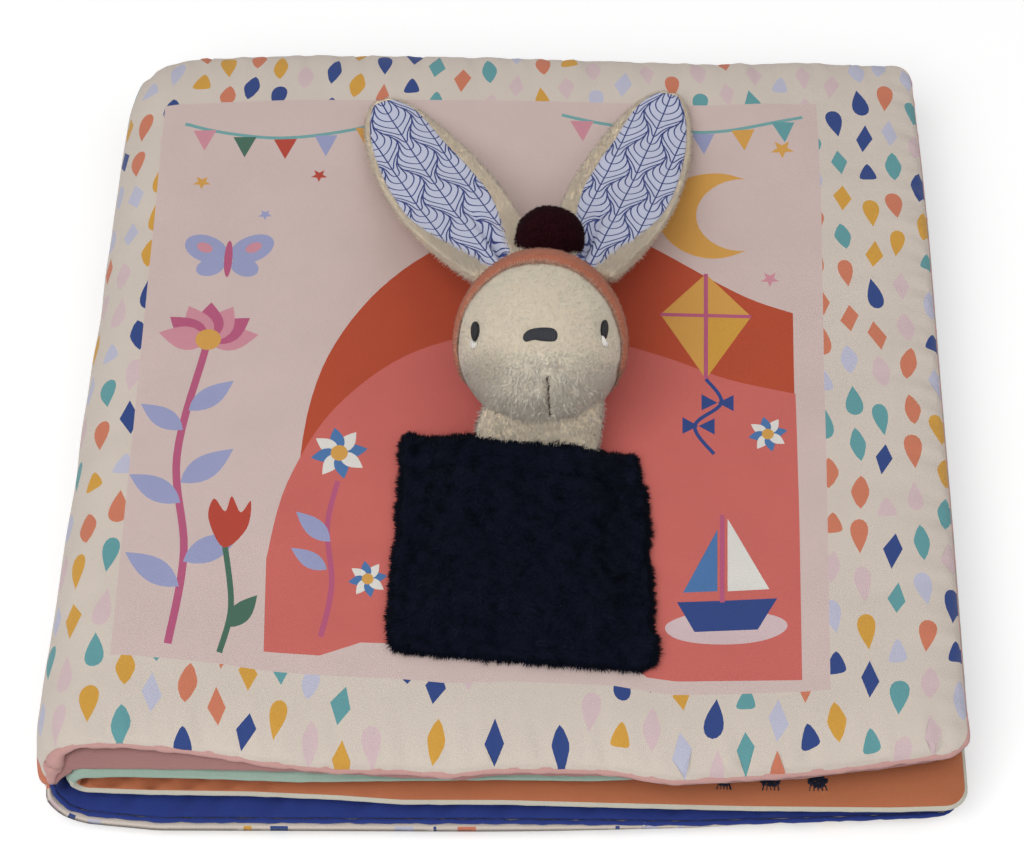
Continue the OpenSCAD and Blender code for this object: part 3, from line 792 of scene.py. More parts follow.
def make_cover_print(material):
    rng = np.random.default_rng(7)
    cols = sheet_columns(COVER_END, 1.75)
    hls = half_l(COVER_END - np.abs(cols))
    outline = [(c, -h) for c, h in zip(cols, hls)]
    outline += [(COVER_END, y) for y in spaced(-hls[-1], hls[-1], 1.75)[1:-1]]
    outline += [(c, h) for c, h in zip(cols[::-1], hls[::-1])]
    outline += [(-COVER_END, y) for y in spaced(-hls[0], hls[0], 1.75)[1:-1][::-1]]
    inner = []
    for c, h in zip(cols[1:-1], hls[1:-1]):
        inner += [(c, y) for y in sheet_rows(h, 1.75, 103.0)]
        for r in RINGS[1:]:
            inner += [(c, -h + r), (c, h - r)]

    def keep(x, y, poly):
        xs, ys = [p[0] for p in poly], [p[1] for p in poly]
        if 82 < x < 134 and -102.5 < y < -92:  # left bare
            return False
        if 33 < x < 192 and -80 < y < 80:  # under the picture
            return False
        return max(abs(min(xs)), abs(max(xs))) < COVER_END + 4 and max(abs(min(ys)),
                                                                       abs(max(ys))) < HALF_L + 6

    shapes = confetti(rng, keep) + picture()
    flat, tris, ink = painted(outline, inner, shapes)
    flat, tris = compact(flat, tris)
    s, y = flat[:, 0], flat[:, 1]
    top = cover_place(s, y, cover_top(s, y))
    ring = outer_ring(tris)
    rs, ry = s[ring], y[ring]
    # the rolled rim, down to where the lining is sewn on
    out = out_of(flat[ring])
    lift = cover_top(rs, ry) - 0.8
    low_side = smooth((3 - rs) / 9) * (ry < 0) * (1 - smooth((-rs - 110) / 90))
    rims = []
    for push, n in ((0.28, 0.55), (0.32, 0.25), (0.12, 0.0)):
        bulge = push + low_side * (1.5 if n > 0.3 else 1.0)
        drop_n = n + low_side * (1.4 if n > 0.3 else 0.7)
        rims.append(cover_place(rs + out[:, 0] * bulge, ry + out[:, 1] * bulge, drop_n + lift))
    back_inner = [(c, q) for c in spaced(-COVER_END + 9, COVER_END - 9, 8.0) for q in spaced(-98, 98, 9.0)]
    low_flat, low_tris, _ = painted([tuple(p) for p in flat[ring]], back_inner, [])
    low_ring = outer_ring(low_tris)
    # the two rings hold the same points: start them at the same one
    start = int(np.argmin(np.hypot(*(low_flat[low_ring] - flat[ring][0]).T)))
    low_ring = np.roll(low_ring, -start)
    assert len(low_ring) == len(ring)
    low = cover_place(low_flat[:, 0], low_flat[:, 1], 0)
    low[low_ring] = rims[-1]
    v, t, tag = closed_solid(top, tris, ring, rims[:-1], low, low_tris, low_ring)
    colours = np.tile(INK["cream"], (len(t), 1))
    at = {}
    for k, name in enumerate(ink):
        if name:
            colours[k] = INK[name]
            for a, b in ((0, 1), (1, 2), (2, 0)):
                at[int(tris[k, a]), int(tris[k, b])] = INK[name]
    # the print goes on round the rim
    side = [at.get((int(a), int(b)), INK["cream"]) for a, b in zip(ring, np.roll(ring, -1))]
    for k in range(1, int(tag.max()) + 1):
        colours[tag == k] = np.concatenate([side, side])
    uv = np.concatenate([flat] + [flat[ring]] * (len(rims) - 1) + [low_flat])
    normals = normals_of(v, t)
    inside = np.minimum(COVER_END - np.abs(s), half_l(COVER_END - np.abs(s)) - np.abs(y)) > 1.2
    normals[:len(s)][inside] = print_normal(s, y)[inside]
    cloth = Cloth()
    cloth.add(v, t, colours, uv, normals)
    return cloth.piece("cover_print", material, None, ("front_cover", "back_cover"),
                       own_normals=True)


def tube(cloth, path, radius, ink, uv, sides=8):
    """A closed round roll along a path."""
    d = unit(np.gradient(path, axis=0))
    a = unit(np.cross(d, np.array([0.3, 0.2, 1.0])))
    b = np.cross(d, a)
    r = np.broadcast_to(radius, (len(path),))
    th = np.linspace(0, 2 * math.pi, sides, endpoint=False)
    ring = a[:, None] * np.cos(th)[None, :, None] + b[:, None] * np.sin(th)[None, :, None]
    v = (path[:, None] + r[:, None, None] * ring).reshape(-1, 3)
    v = np.concatenate([v, path[[0, -1]]])
    cloth.add(v, ball_tris(len(path), sides), ink, np.concatenate([np.repeat(uv, sides, 0), uv[[0, -1]]]))


def half_path(side, step=1.6):
    """Round the free edges of one half of the cover, from the spine and back to it."""
    cols = np.concatenate([spaced(0, COVER_END - RINGS[-1], step), (COVER_END - RINGS[:-1])[::-1]])
    hl = half_l(COVER_END - cols)
    low = [(c, -h) for c, h in zip(cols, hl)]
    free = [(COVER_END, y) for y in spaced(-hl[-1], hl[-1], step)[1:-1]]
    far = [(c, h) for c, h in zip(cols[::-1], hl[::-1])]
    return np.array(low + free + far) * np.array([side, 1])


def make_lining(name, side, material, nodes, ink, roll_ink, roll_r):
    cols = np.concatenate([spaced(0, COVER_END - RINGS[-1], 3.0), (COVER_END - RINGS[:-1])[::-1]])
    hl = half_l(COVER_END - cols)
    rows = np.concatenate([RINGS, spaced(RINGS[-1] + 3, 100, 3.2)])
    s = np.repeat(cols[:, None], 2 * len(rows) , 1)
    y = np.concatenate([-(hl[:, None] - rows[None, :]), (hl[:, None] - rows[None, :])[:, ::-1]], 1)
    y = np.sort(y, axis=1)
    s = s * side
    d_free = COVER_END - np.abs(s)
    d_side = np.maximum(hl[:, None] - np.abs(y), 0)
    front = lining_edge(np.abs(s)) if side > 0 else front_edge(s) + 0.5

    def put(n):
        return place_sheet(s, y, n, COVER_R, ARC, front, far_edge(s))

    base = put(np.zeros_like(s))
    sewn = front_edge(s)
    reach = np.where(y < 0, np.maximum(0, sewn + 0.4 - base[..., 1]), 0) if side > 0 else np.zeros_like(s)
    lift = cover_top(s, y) - 0.8 - 4.2 * swell(d_free) * swell(d_side)
    lift = lift * np.exp(-d_side / 3.0)
    top_n = -0.06 + lift * (reach < 0.01) - 0.72 * reach
    top_n = np.where(reach > 0, top_n + lift * np.exp(-reach), top_n)
    k = swell(d_free) * swell(d_side)
    low_n = np.minimum(top_n - 0.5, -0.5) - (1.1 + 0.25 * waves(s, y, 30, 31)) * k
    low_n = low_n - 0.25 * along_waves(s, (6.0, 9.0, 14.0), 33) * (1 - k)
    folds = along_waves(s + 0.6 * y, (7.0, 11.0, 19.0), 34)
    low_n = low_n - 0.8 * np.exp(-((d_side - 5) / 4) ** 2) * folds * swell(d_free)
    a, b = put(top_n).reshape(-1, 3), put(low_n).reshape(-1, 3)
    r, c = s.shape
    tris = grid_tris(r, c)
    ring = ring_of(r, c)
    v, t, _ = closed_solid(a, tris, ring, [], b, tris, ring)
    uv = np.stack([s.ravel(), y.ravel()], 1)
    if np.dot(np.cross(a[1 * c] - a[0], a[1] - a[0]), b[0] - a[0]) > 0:
        t = t[:, ::-1]
    cloth = Cloth()
    cloth.add(v, t, INK[ink], np.concatenate([uv, uv]))
    path = half_path(side)
    ps, py = path[:, 0], path[:, 1]
    edge_lift = cover_top(ps, py) - 0.8
    line = cover_place(ps, py, -0.25 + edge_lift + 0.2 * along_waves(ps + py, (4.0, 6.5, 9.0), 41))
    line = line + 0.25 * level_way(line, (0, 3, FOLD_Z))
    at_front = smooth((-py - 96) / 8)
    size = roll_r * (0.62 + 0.38 * at_front) * (1 + 0.2 * along_waves(ps + 1.3 * py, (5.5, 8.0, 13.0), 42))
    if side > 0:  # it ends in a curl at the spine
        size = size + at_front * 1.8 * np.exp(-((ps - 8.5) / 5.0) ** 2)

    tube(cloth, line, size, INK[roll_ink], path)
    return cloth.piece(name, material, None, nodes)


# The leaves
def leaf_edges(s):
    x = np.abs(s) - LEAF_ARC + FOLD_X
    upper, lower = leaf1_front(x), leaf2_front(x)
    front = np.where(s >= 0, upper, lower)
    far = np.where(s >= 0, far_edge(np.abs(s) + ARC - LEAF_ARC) - 1.2,
                   far_edge(-np.abs(s) - ARC + LEAF_ARC) + 1.0)
    k = smooth((np.abs(s)) / 6.0)
    middle_front, middle_far = -110.9, 109.6
    return middle_front + (front - middle_front) * k, middle_far + (far - middle_far) * k


def leaf_place(s, y, n):
    front, far = leaf_edges(s)
    return place_sheet(s, y, n, LEAF_R, LEAF_ARC, front, far)


def leaf_level(s, y, outer):
    d_free = LEAF_END - np.abs(s)
    d_side = np.maximum(half_l(d_free) - np.abs(y), 0)
    k = swell(d_free) * swell(d_side)
    n = 0.8 + 2.5 * k
    pull = np.exp(-d_side / 5.0) * (1 - np.exp(-d_side / 0.7))
    n = n + 0.45 * pull * along_waves(s, (5.7, 8.3, 12.9), 51 if outer else 52)
    if not outer:
        near = smooth((0 - s) / 4) * smooth((s + 60) / 30) * np.exp(-d_side / 9.0)
        n = n + near * 1.7 * (np.sin(6.28 * (s + 0.9 * y) / 9.0) - 0.6) * (1 - np.exp(-d_side / 1.2))
    return n


def make_leaves(material):
    cols = sheet_columns(LEAF_END, 3.0)
    fold = np.linspace(-LEAF_ARC, LEAF_ARC, 25)
    cols = np.concatenate([cols[cols < -LEAF_ARC - 0.5], fold, cols[cols > LEAF_ARC + 0.5]])
    hl = half_l(LEAF_END - np.abs(cols))
    rows = np.concatenate([RINGS, spaced(RINGS[-1] + 2.5, 100, 3.4)])
    y = np.sort(np.concatenate([-(hl[:, None] - rows), hl[:, None] - rows], 1), axis=1)
    s = np.repeat(cols[:, None], y.shape[1], 1)
    sway = waves(s, y, 40, 55) * 0.2
    outer = leaf_place(s, y, leaf_level(s, y, True) + sway)
    inner = leaf_place(s, y, np.maximum(-leaf_level(s, y, False), -3.38))
    r, c = s.shape
    ring = ring_of(r, c)
    rs, ry = s.ravel()[ring], y.ravel()[ring]
    flat = np.stack([rs, ry], 1)
    out = out_of(flat)
    wob = 0.15 * along_waves(rs + ry, (4.5, 7.0, 11.0), 56)
    rims = [leaf_place(rs + out[:, 0] * p, ry + out[:, 1] * p, n + wob) for p,
            n in ((0.55, 0.62), (0.8, 0.0), (0.55, -0.62))]
    tris = grid_tris(r, c)
    v, t, tag = closed_solid(outer.reshape(-1, 3), tris, ring, rims, inner.reshape(-1, 3), tris, ring)
    uv_one = np.stack([s.ravel(), y.ravel()], 1)
    uv = np.concatenate([uv_one] + [flat] * 3 + [uv_one])
    middle = uv[t].mean(axis=1)
    # the leaves' underside is orange darkened partly with painted shade
    ink = np.tile(INK["shaded_orange"], (len(t), 1))
    face = tag == 0
    ink[face & (middle[:, 0] > -3)] = INK["mint"]
    ink[face & (middle[:, 0] <= -3)] = INK["leaf_blue"]
    rim = tag > 0
    ink[rim & (middle[:, 0] > 2)] = INK["mint"]
    ink[rim & (middle[:, 0] <= 2)] = INK["seam"]
    if np.dot(np.cross(outer[1, 0] - outer[0, 0], outer[0, 1] - outer[0, 0]), inner[0, 0] - outer[0, 0]) > 0:
        t = t[:, ::-1]
    cloth = Cloth()
    cloth.add(v, t, ink, uv)
    return cloth.piece("leaves", material, "book", ("pages",))


# The pocket
STACK = 27.4
LAY = 0.3
POCKET_W, POCKET_L, POCKET_X, POCKET_Y = 61.0, 57.0, 3.5, -55.5
MOUTH_Y = POCKET_Y + POCKET_L / 2
SEAM_HALF = POCKET_W / 2 - 3
NECK_W, NECK_SHIFT = 13.8, 2.5


def on_cover(x, y, z):
    k = y / POCKET_L
    w = x * (1 - 3.6 / POCKET_W * k)
    up = np.maximum(k + 0.5, 0)
    corner = 3.5 * smooth((np.abs(x) - NECK_W) / (POCKET_W / 2 - NECK_W)) * up
    t = math.radians(-4)
    return np.stack([POCKET_X + w * math.cos(t), POCKET_Y + w * math.sin(t) - 0.02 * w * up + corner + y,
                     STACK + z], -1)


def hollow(x, y):
    near = smooth(1 - (POCKET_L / 2 - y) / 20)
    h = 5.8 + 1.2 * near
    raised = SEAM_HALF * (0.56 - 0.1 * near)
    across = smooth((SEAM_HALF - np.abs(x)) / (SEAM_HALF - raised)) * (1 - 0.1 * (x / SEAM_HALF) ** 2)
    return h * across * smooth((y + POCKET_L / 2 - 3) / 10)


def make_pocket(material):
    rows = np.concatenate([[0, 0.4, 1, 2, 3], spaced(4, POCKET_L - 9.5, 1.1),
                           [48.6, 49, 49.4, 49.9, 50.6, 52, 53.6, 55, 56.2, 57]])
    y = rows - POCKET_L / 2
    across = np.concatenate([[-1, -0.985, -0.96, -0.92], np.linspace(-0.88, 0.88, 49),
                             [0.92, 0.96, 0.985, 1]])
    bottom = np.clip(4 - rows, 0, 4)
    half = POCKET_W / 2 - (4 - np.sqrt(16 - bottom ** 2))
    half = half + 0.35 * along_waves(rows, (9.0, 14.0, 23.0), 61)
    hem, foot = smooth((rows - 48.4) / 1.2), 1 - smooth((rows - 8) / 1.4)
    left, right = half + 0.9 * hem, half - 1.5 * hem + 0.9 * foot * smooth(rows / 2)
    x = np.where(across[None, :] < 0, left[:, None], right[:, None]) * across[None, :]
    half = np.where(across[None, :] < 0, left[:, None], right[:, None])
    yy = np.repeat(y[:, None], x.shape[1], 1)
    d = POCKET_L / 2 - yy
    thick = 2.4 + 0.7 * (1 - smooth((d - 6.6) / 1.4)) - 0.5 * np.exp(-((d - 8.2) / 0.7) ** 2)
    edge = np.minimum(half - np.abs(x), yy + POCKET_L / 2)
    thick = thick - 0.5 * np.exp(-((edge - 3.0) / 0.9) ** 2)  # the stitching
    thick = thick * (0.55 + 0.45 * swell(np.minimum(edge, d + 0.3), 2.0))
    thick += (0.3 * waves(x, yy, 15, 62) + 0.16 * waves(x, yy, 5.5, 66)) * smooth(edge / 5)
    low = hollow(x, yy)
    mouth_drop = np.where(d < 6, (6 - d) * 0.02, 0)
    top = on_cover(x, yy, LAY + low + thick - mouth_drop)
    under = on_cover(x, yy, LAY + low)
    r, c = x.shape
    tris = grid_tris(r, c, flip=True)
    ring = ring_of(r, c)[::-1]
    mid = (top.reshape(-1, 3)[ring] + under.reshape(-1, 3)[ring]) / 2
    push = level_way(mid, (POCKET_X, POCKET_Y, 0))
    v, t, _ = closed_solid(top.reshape(-1, 3), tris, ring, [mid + push * 0.7], under.reshape(-1, 3), tris,
                           ring)
    sheet = Cloth()
    flat = np.stack([x.ravel(), yy.ravel()], 1)
    sheet.add(v, t, INK["plush_navy"], np.concatenate([flat, flat[ring], flat]))
    body = sheet.piece("pocket_plush", material, "front", ("pocket",))
    # the pile, combed down the pocket and fluffy at its rim
    rng = np.random.default_rng(63)
    tv = np.concatenate([top.reshape(-1, 3), mid + push * 0.7])
    n = normals_of(v, t)[: len(tv)]
    tt = t[(t < len(tv)).all(axis=1)]
    pile = Cloth()
    place, out = scatter(tv, tt, n, 23000, rng)
    px, py = place[:, 0], place[:, 1]
    in_hem = smooth((py - POCKET_Y - POCKET_L / 2 + 9 + 0.07 * px) / 2)
    swirl = np.stack([0.9 * waves(px, py, 9, 64) + in_hem * 1.1,
                      -1.0 + 0.8 * waves(px, py, 11, 65) + 0.7 * in_hem, 0 * px], 1)
    clump = 0.75 + 0.35 * waves(px, py, 4.2, 67)
    tufts(pile, place, out, swirl, 1.75 * np.clip(clump, 0.35, 1.5), 0.4, rng,
          INK["plush_navy"][None, :] * (1.2 + 0.35 * waves(px, py, 5.0, 68))[:, None], vary=0.55, lean=1.3)
    edge_t = tt[(tt >= len(top.reshape(-1, 3))).any(axis=1)]
    place, out = scatter(tv, edge_t, n, 8000, rng)
    flat_out = out.copy()
    flat_out[:, 2] *= 0.3
    ragged = 1.5 * np.clip(0.9 + 0.3 * waves(place[:, 0], place[:, 1], 2.4, 69), 0.4, 1.6)
    tufts(pile, place, out, flat_out, ragged, 0.34, rng, INK["plush_navy"] * 1.1, vary=0.5, lean=0.7)
    pile.piece("pocket_pile", material, "front", (), own_normals=True)
    return body


# The rabbit
HEAD_R, HEAD_B, LEAN, TURN = 20.8, 21.6, math.radians(25), math.radians(-4)
HEAD_C = np.array([7.2, POCKET_Y + POCKET_L / 2 + 2.6 + HEAD_B * math.cos(LEAN),
                   STACK + 2 * LAY + 0.8 + math.hypot(HEAD_R * math.cos(LEAN), HEAD_B * math.sin(LEAN))])
S25, C25 = math.sin(LEAN), math.cos(LEAN)


def from_head(p, turned=True):
    """From the head's own frame, crown along +Z and face along -Y, to the book."""
    p = np.asarray(p, float)
    x, y, z = p[..., 0], p[..., 1], p[..., 2]
    if turned:
        c, s = math.cos(TURN), math.sin(TURN)
        x, y = x * c - y * s, x * s + y * c
    return HEAD_C + np.stack([x, y * S25 + z * C25, -y * C25 + z * S25], -1)


def egg(a, ph, grow=0.0):
    """A point of the head: a from -90 at the neck to 90 at the crown, ph round it from the face."""
    r = (HEAD_R + grow) * np.cos(a) * (1 - 0.05 * np.sin(a))
    return np.stack([r * np.sin(ph), -r * np.cos(ph), (HEAD_B + grow) * np.sin(a)], -1)


def egg_mesh(rows, cols, grow):
    """A closed egg in the head's frame. Its grow may be a function of the place."""
    a = np.linspace(-math.pi / 2, math.pi / 2, rows + 2)[1:-1]
    ph = np.linspace(-math.pi, math.pi, cols, endpoint=False)
    aa, pp = np.meshgrid(a, ph, indexing="ij")
    v, pole = egg(aa, pp), HEAD_B
    if callable(grow):
        v = v + unit(v) * grow(v)[..., None]
    else:
        v, pole = egg(aa, pp, grow), pole + grow
    v = np.concatenate([v.reshape(-1, 3), [[0, 0, -pole], [0, 0, pole]]])
    return v, ball_tris(rows, cols)


def ball_tris(rows, cols):
    """Triangles of a closed round form: its rings from foot to crown, then its two poles."""
    i, k = np.meshgrid(np.arange(rows - 1), np.arange(cols), indexing="ij")
    p, q = (i * cols + k).ravel(), (i * cols + (k + 1) % cols).ravel()
    k = np.arange(cols)
    last = (rows - 1) * cols
    return np.concatenate([np.stack([p, q, q + cols], 1), np.stack([p, q + cols, p + cols], 1),
                           np.stack([np.full(cols, rows * cols), (k + 1) % cols, k], 1),
                           np.stack([np.full(cols, rows * cols + 1), last + k, last + (k + 1) % cols], 1)])


EYES = {-1: (-15.3, -1.1), 1: (16.7, -0.3)}
NOSE, MOUTH_X = (1.35, -3.5), 3.0


def face_form(p):
    """The muzzle swells a little, and the mouth's seam is drawn in."""
    x, z = p[..., 0], p[..., 2]
    front = smooth(-p[..., 1] / 12)
    muzzle = 1.0 * np.exp(-(((x - NOSE[0]) / 9.5) ** 2 + ((z + 9.5) / 6.5) ** 2)) * front
    seam = -1.2 * np.exp(-((x - MOUTH_X) / 0.6) ** 2) * smooth((-12.2 - z) / 1.5) * smooth(z + 21.2) * front
    seam = seam - 0.5 * np.exp(-(((x - MOUTH_X) / 1.2) ** 2 + ((z + 11.6) / 1.0) ** 2)) * front
    sockets = 0
    for ex, ez in EYES.values():
        sockets = sockets - 0.7 * np.exp(-(((x - ex) / 2.0) ** 2 + ((z - ez + 0.6) / 3.6) ** 2)) * front
    nose = -0.5 * np.exp(-(((x - NOSE[0]) / 5.4) ** 2 + ((z - NOSE[1]) / 2.8) ** 2)) * front
    lumps = 0.22 * muzzle_pile(x, z) * waves(x, z, 3.6, 78) * front
    return muzzle + seam + sockets + nose + lumps + 0.14 * waves(x + p[..., 1], z, 14, 71)


def muzzle_pile(x, z):
    """Where the face's pile is long: 0 on the brow, up to 1 round the mouth."""
    low = smooth((-5.5 - z - 0.035 * (x - NOSE[0]) ** 2) / 8)
    return low * (0.5 + 0.5 * np.clip(waves(x, z, 9, 76) + 0.6, 0, 1))


# Painted shade: the face's ink darkens by up to a fifth towards the lower left cheek.
def painted_cheek_shade(x, z):
    return 1 - 0.2 * smooth((-x - 4) / 9) * smooth((-z - 3) / 8)


def make_head(material):
    v, t = egg_mesh(96, 160, face_form)
    n = normals_of(v, t)
    cloth = Cloth()
    middle = v[t].mean(axis=1)
    mx, mz = middle[:, 0] - MOUTH_X, middle[:, 2]
    dark = (np.abs(mx) < 0.3) & (middle[:, 1] < -5) & (mz < -12.9) & (mz > -20.6)
    # Painted light and shade: the face's ink is lifted by up to half where the pile is long round the mouth,
    # making up for the shade its tufts cast on each other, and darkened at the lower left cheek.
    painted_light_and_shade = (1 + 0.5 * muzzle_pile(middle[:, 0], middle[:, 2])) * painted_cheek_shade(middle[:, 0], middle[:, 2])
    ink = INK["face"][None, :] * painted_light_and_shade[:, None]
    ink[dark] = INK["face"] * 0.14
    cloth.add(from_head(v), t, ink, n=turn_only(n))
    rng = np.random.default_rng(72)
    hidden = hood_side(middle, 0.5)
    rough = smooth((-5 - middle[:, 2]) / 7)
    place, out = scatter(v, t, n, 30000, rng, weight=np.where(hidden, 0.0, 1.0) * np.where(dark, 0.1, 1.0)
                         * (0.3 + 1.0 * rough))
    x, z = place[:, 0], place[:, 2]
    low = muzzle_pile(x, z)
    comb = unit(np.stack([x * 0.5, 0 * x, -8 + 0 * x], 1))
    ruffle = np.stack([waves(x, z, 4.0, 73), 0.3 * waves(x, z, 5, 77), waves(x, z, 5.0, 74)], 1)
    comb = comb + 1.1 * low[:, None] * ruffle
    rest = np.zeros(len(place), bool)
    for ex, ez in EYES.values():
        rest |= (((x - ex) / 1.0) ** 2 + ((z - ez + 0.7) / 3.4) ** 2 < 1) & (place[:, 1] < 0)
    rest |= (((x - NOSE[0]) / 4.5) ** 2 + ((z - NOSE[1]) / 1.9) ** 2 < 1) & (place[:, 1] < 0)
    place, out, comb, low = place[~rest], out[~rest], comb[~rest], low[~rest]
    # Painted light and shade: the tufts' ink is lifted where the pile is long, making up for the shade they
    # cast on each other, and darkened at the lower left cheek.
    shade = INK["face"][None, :] * ((1.02 + 0.54 * low) * painted_cheek_shade(place[:, 0], place[:, 2]))[:, None]
    tufts(cloth, from_head(place), turn_only(out), turn_only(comb), 0.3 + 0.35 * low, 0.2 + 0.1 * low, rng,
          shade, vary=0.05, lean=0.8)
    # locks of longer pile round the mouth
    place, out = scatter(v, t, n, 9000, rng, weight=np.where(hidden | dark, 0.0, 1.0) * (middle[:, 2] < -6))
    x, z = place[:, 0], place[:, 2]
    low = muzzle_pile(x, z)
    kept = (rng.random(len(place)) < 0.3 * low ** 1.5) & (np.abs(x - MOUTH_X) > 0.9)
    place, out, x, z, low = place[kept], out[kept], x[kept], z[kept], low[kept]
    comb = np.stack([0.25 * x + 1.3 * waves(x, z, 5.0, 73), 0 * x, -3 + 1.2 * waves(x, z, 6.0, 74)], 1)
    # Painted light and shade: the locks' ink is lifted to 1.28 times the face's ink, making up for their own
    # shade, and darkened at the lower left cheek.
    tufts(cloth, from_head(place), turn_only(out), turn_only(unit(comb)), 1.4, 0.75, rng,
          INK["face"][None, :] * (1.28 * painted_cheek_shade(x, z))[:, None], vary=0.03, lean=1.1)
    return cloth.piece("face", material, "front", ("rabbit_head",), own_normals=True)


def turn_only(n):
    return from_head(n) - HEAD_C


# The planes of the hood's edge: their tilt and how far they lie from the head's middle
BROW, BROW_AT, JAW, JAW_AT = math.radians(23), 5.6, math.radians(-22), 8.64


def hood_depth(p):
    """How far a point lies behind the hood's edge, at the brow and at the jaw."""
    brow = p[..., 1] * math.cos(BROW) + p[..., 2] * math.sin(BROW) + BROW_AT
    return brow, -p[..., 1] * math.sin(JAW) + p[..., 2] * math.cos(JAW) + JAW_AT


def hood_side(p, inside=0.0):
    """Whether a point of the head's frame lies under the hood, at least so far from its edge."""
    brow, jaw = hood_depth(p)
    return (brow > inside) & (jaw > inside)


def make_hood(material):
    v, t = egg_mesh(80, 128, 0.95)
    me = bpy.data.meshes.new("hood_form")
    me.from_pydata([tuple(p) for p in v], [], [tuple(int(i) for i in f) for f in t])
    bm = bmesh.new()
    bm.from_mesh(me)
    cuts = [((0, -BROW_AT * math.cos(BROW), -BROW_AT * math.sin(BROW)), (0, math.cos(BROW), math.sin(BROW))),
            ((0, JAW_AT * math.sin(JAW), -JAW_AT * math.cos(JAW)), (0, -math.sin(JAW), math.cos(JAW)))]
    for point, way in cuts:
        geom = bm.verts[:] + bm.edges[:] + bm.faces[:]
        bmesh.ops.bisect_plane(bm, geom=geom, plane_co=point, plane_no=way, clear_inner=True)
    bmesh.ops.triangulate(bm, faces=bm.faces[:])
    bm.verts.index_update()
    v = np.array([tuple(p.co) for p in bm.verts])
    t = np.array([[q.index for q in f.verts] for f in bm.faces])
    bm.free()
    bpy.data.meshes.remove(me)
    brow, jaw = hood_depth(v)
    v = v - unit(v) * (0.9 * (1 - swell(np.minimum(np.abs(brow), np.abs(jaw)), 3.0)))[:, None]
    n = normals_of(v, t)
    ring = outer_ring(t)
    inner = v - n * 0.7
    rim = (v[ring] + inner[ring]) / 2
    vv, tt, _ = closed_solid(v, t, ring, [rim], inner, t, ring)
    nn = normals_of(vv, tt)
    cloth = Cloth()
    cloth.add(from_head(vv), tt, INK["plush_coral"], n=turn_only(nn))
    rng = np.random.default_rng(75)
    place, out = scatter(v, t, n, 11000, rng)
    comb = np.tile([0.0, 0.4, 1.0], (len(place), 1))
    tufts(cloth, from_head(place), turn_only(out), turn_only(comb), 0.55, 0.28, rng,
          INK["plush_coral"] * 1.05, vary=0.16, lean=1.0)
    # fringe where the hood's edge meets the face
    a, b2 = v[ring], np.roll(v[ring], -1, 0)
    pick = rng.integers(0, len(ring), 5200)
    k = rng.random(5200)[:, None]
    place = a[pick] * (1 - k) + b2[pick] * k
    out = unit(n[ring][pick])
    tufts(cloth, from_head(place), turn_only(out), turn_only(np.tile([0, -1.0, -0.2], (5200, 1))), 1.5,
          0.34, rng, INK["plush_coral"] * 0.75 + INK["face"] * 0.35, vary=0.2, lean=1.1)
    return cloth.piece("hood", material, "front", ("rabbit_hood",), own_normals=True)


def patch(name, outline, rise, material, nodes, ink, extra=()):
    """A raised embroidered patch on the face, whose outline is given in the face's x and z."""
    rings = [(1.0, -0.25), (1.0, 0.12), (0.93, 0.34), (0.78, 0.5), (0.5, 0.62), (0.2, 0.68)]
    cloth = Cloth()
    for pts, colour in [(np.array(outline), ink)] + [(np.array(p), c) for p, c in extra]:
        m = pts.mean(axis=0)
        v = []
        for k, h in rings:
            q = m + (pts - m) * k
            v.append(on_face(q[:, 0], q[:, 1], h * rise / 0.68))
        c = len(pts)
        v = np.concatenate(v + [on_face(m[:1], m[1:2], rise)])
        t = []
        for r in range(len(rings) - 1):
            i = np.arange(c)
            p, q = r * c + i, r * c + (i + 1) % c
            t += [np.stack([p, q, q + c], 1), np.stack([p, q + c, p + c], 1)]
        i = np.arange(c)
        last = (len(rings) - 1) * c
        t.append(np.stack([last + i, last + (i + 1) % c, np.full(c, len(v) - 1)], 1))
        low = on_face(m[:1], m[1:2], -0.25)
        v = np.concatenate([v, low])
        t.append(np.stack([(i + 1) % c, i, np.full(c, len(v) - 1)], 1))
        t = np.concatenate(t)
        t = facing_out(v, t)
        cloth.add(v, t, colour)
    return cloth.piece(name, material, "front", nodes)


def on_face(x, z, rise):
    """A point of the face at x and z of the head's frame."""
    a = np.arcsin(np.clip(z / HEAD_B, -1, 1))
    r = HEAD_R * np.cos(a) * (1 - 0.05 * np.sin(a))
    ph = np.arcsin(np.clip(x / r, -1, 1))
    p = egg(a, ph)
    p = p + unit(p) * (face_form(p) * 0.6 + rise)[..., None]
    return from_head(p)


# Ears
EAR_L, EAR_W, EAR_T, EAR_WIDEST = 91.5, 27.8, 2.8, 0.45
EAR_TIP_Z = STACK + LAY
EAR_ROOT = {-1: (-0.38 * HEAD_R, 0.24 * HEAD_R, 0.7 * HEAD_B),
            1: (0.45 * HEAD_R, 0.24 * HEAD_R, 0.7 * HEAD_B)}
EAR_TURN = {-1: math.radians(24.4), 1: math.radians(-16.5)}


def ear_half(s):
    low = 0.47 + 0.53 * np.sin(math.pi / 2 * np.minimum(s, EAR_WIDEST) / EAR_WIDEST)
    high = np.sqrt(np.maximum(1 - (np.maximum(s - EAR_WIDEST, 0) / (1 - EAR_WIDEST)) ** 2.1, 0))
    return EAR_W / 2 * np.where(s < EAR_WIDEST, low, high)


def ear_room(side, s, w):
    """Half the lining's width on the side of w. The plush shows wider on the inner side."""
    root = 1 - smooth((s - 0.08) / 0.4)
    inner = 3.6 + 1.4 * root - 2.4 * smooth((s - 0.7) / 0.24)
    outer = 1.2 + 3.6 * root
    return np.maximum(ear_half(s) - np.where(w * side < 0, inner, outer), 0.5)


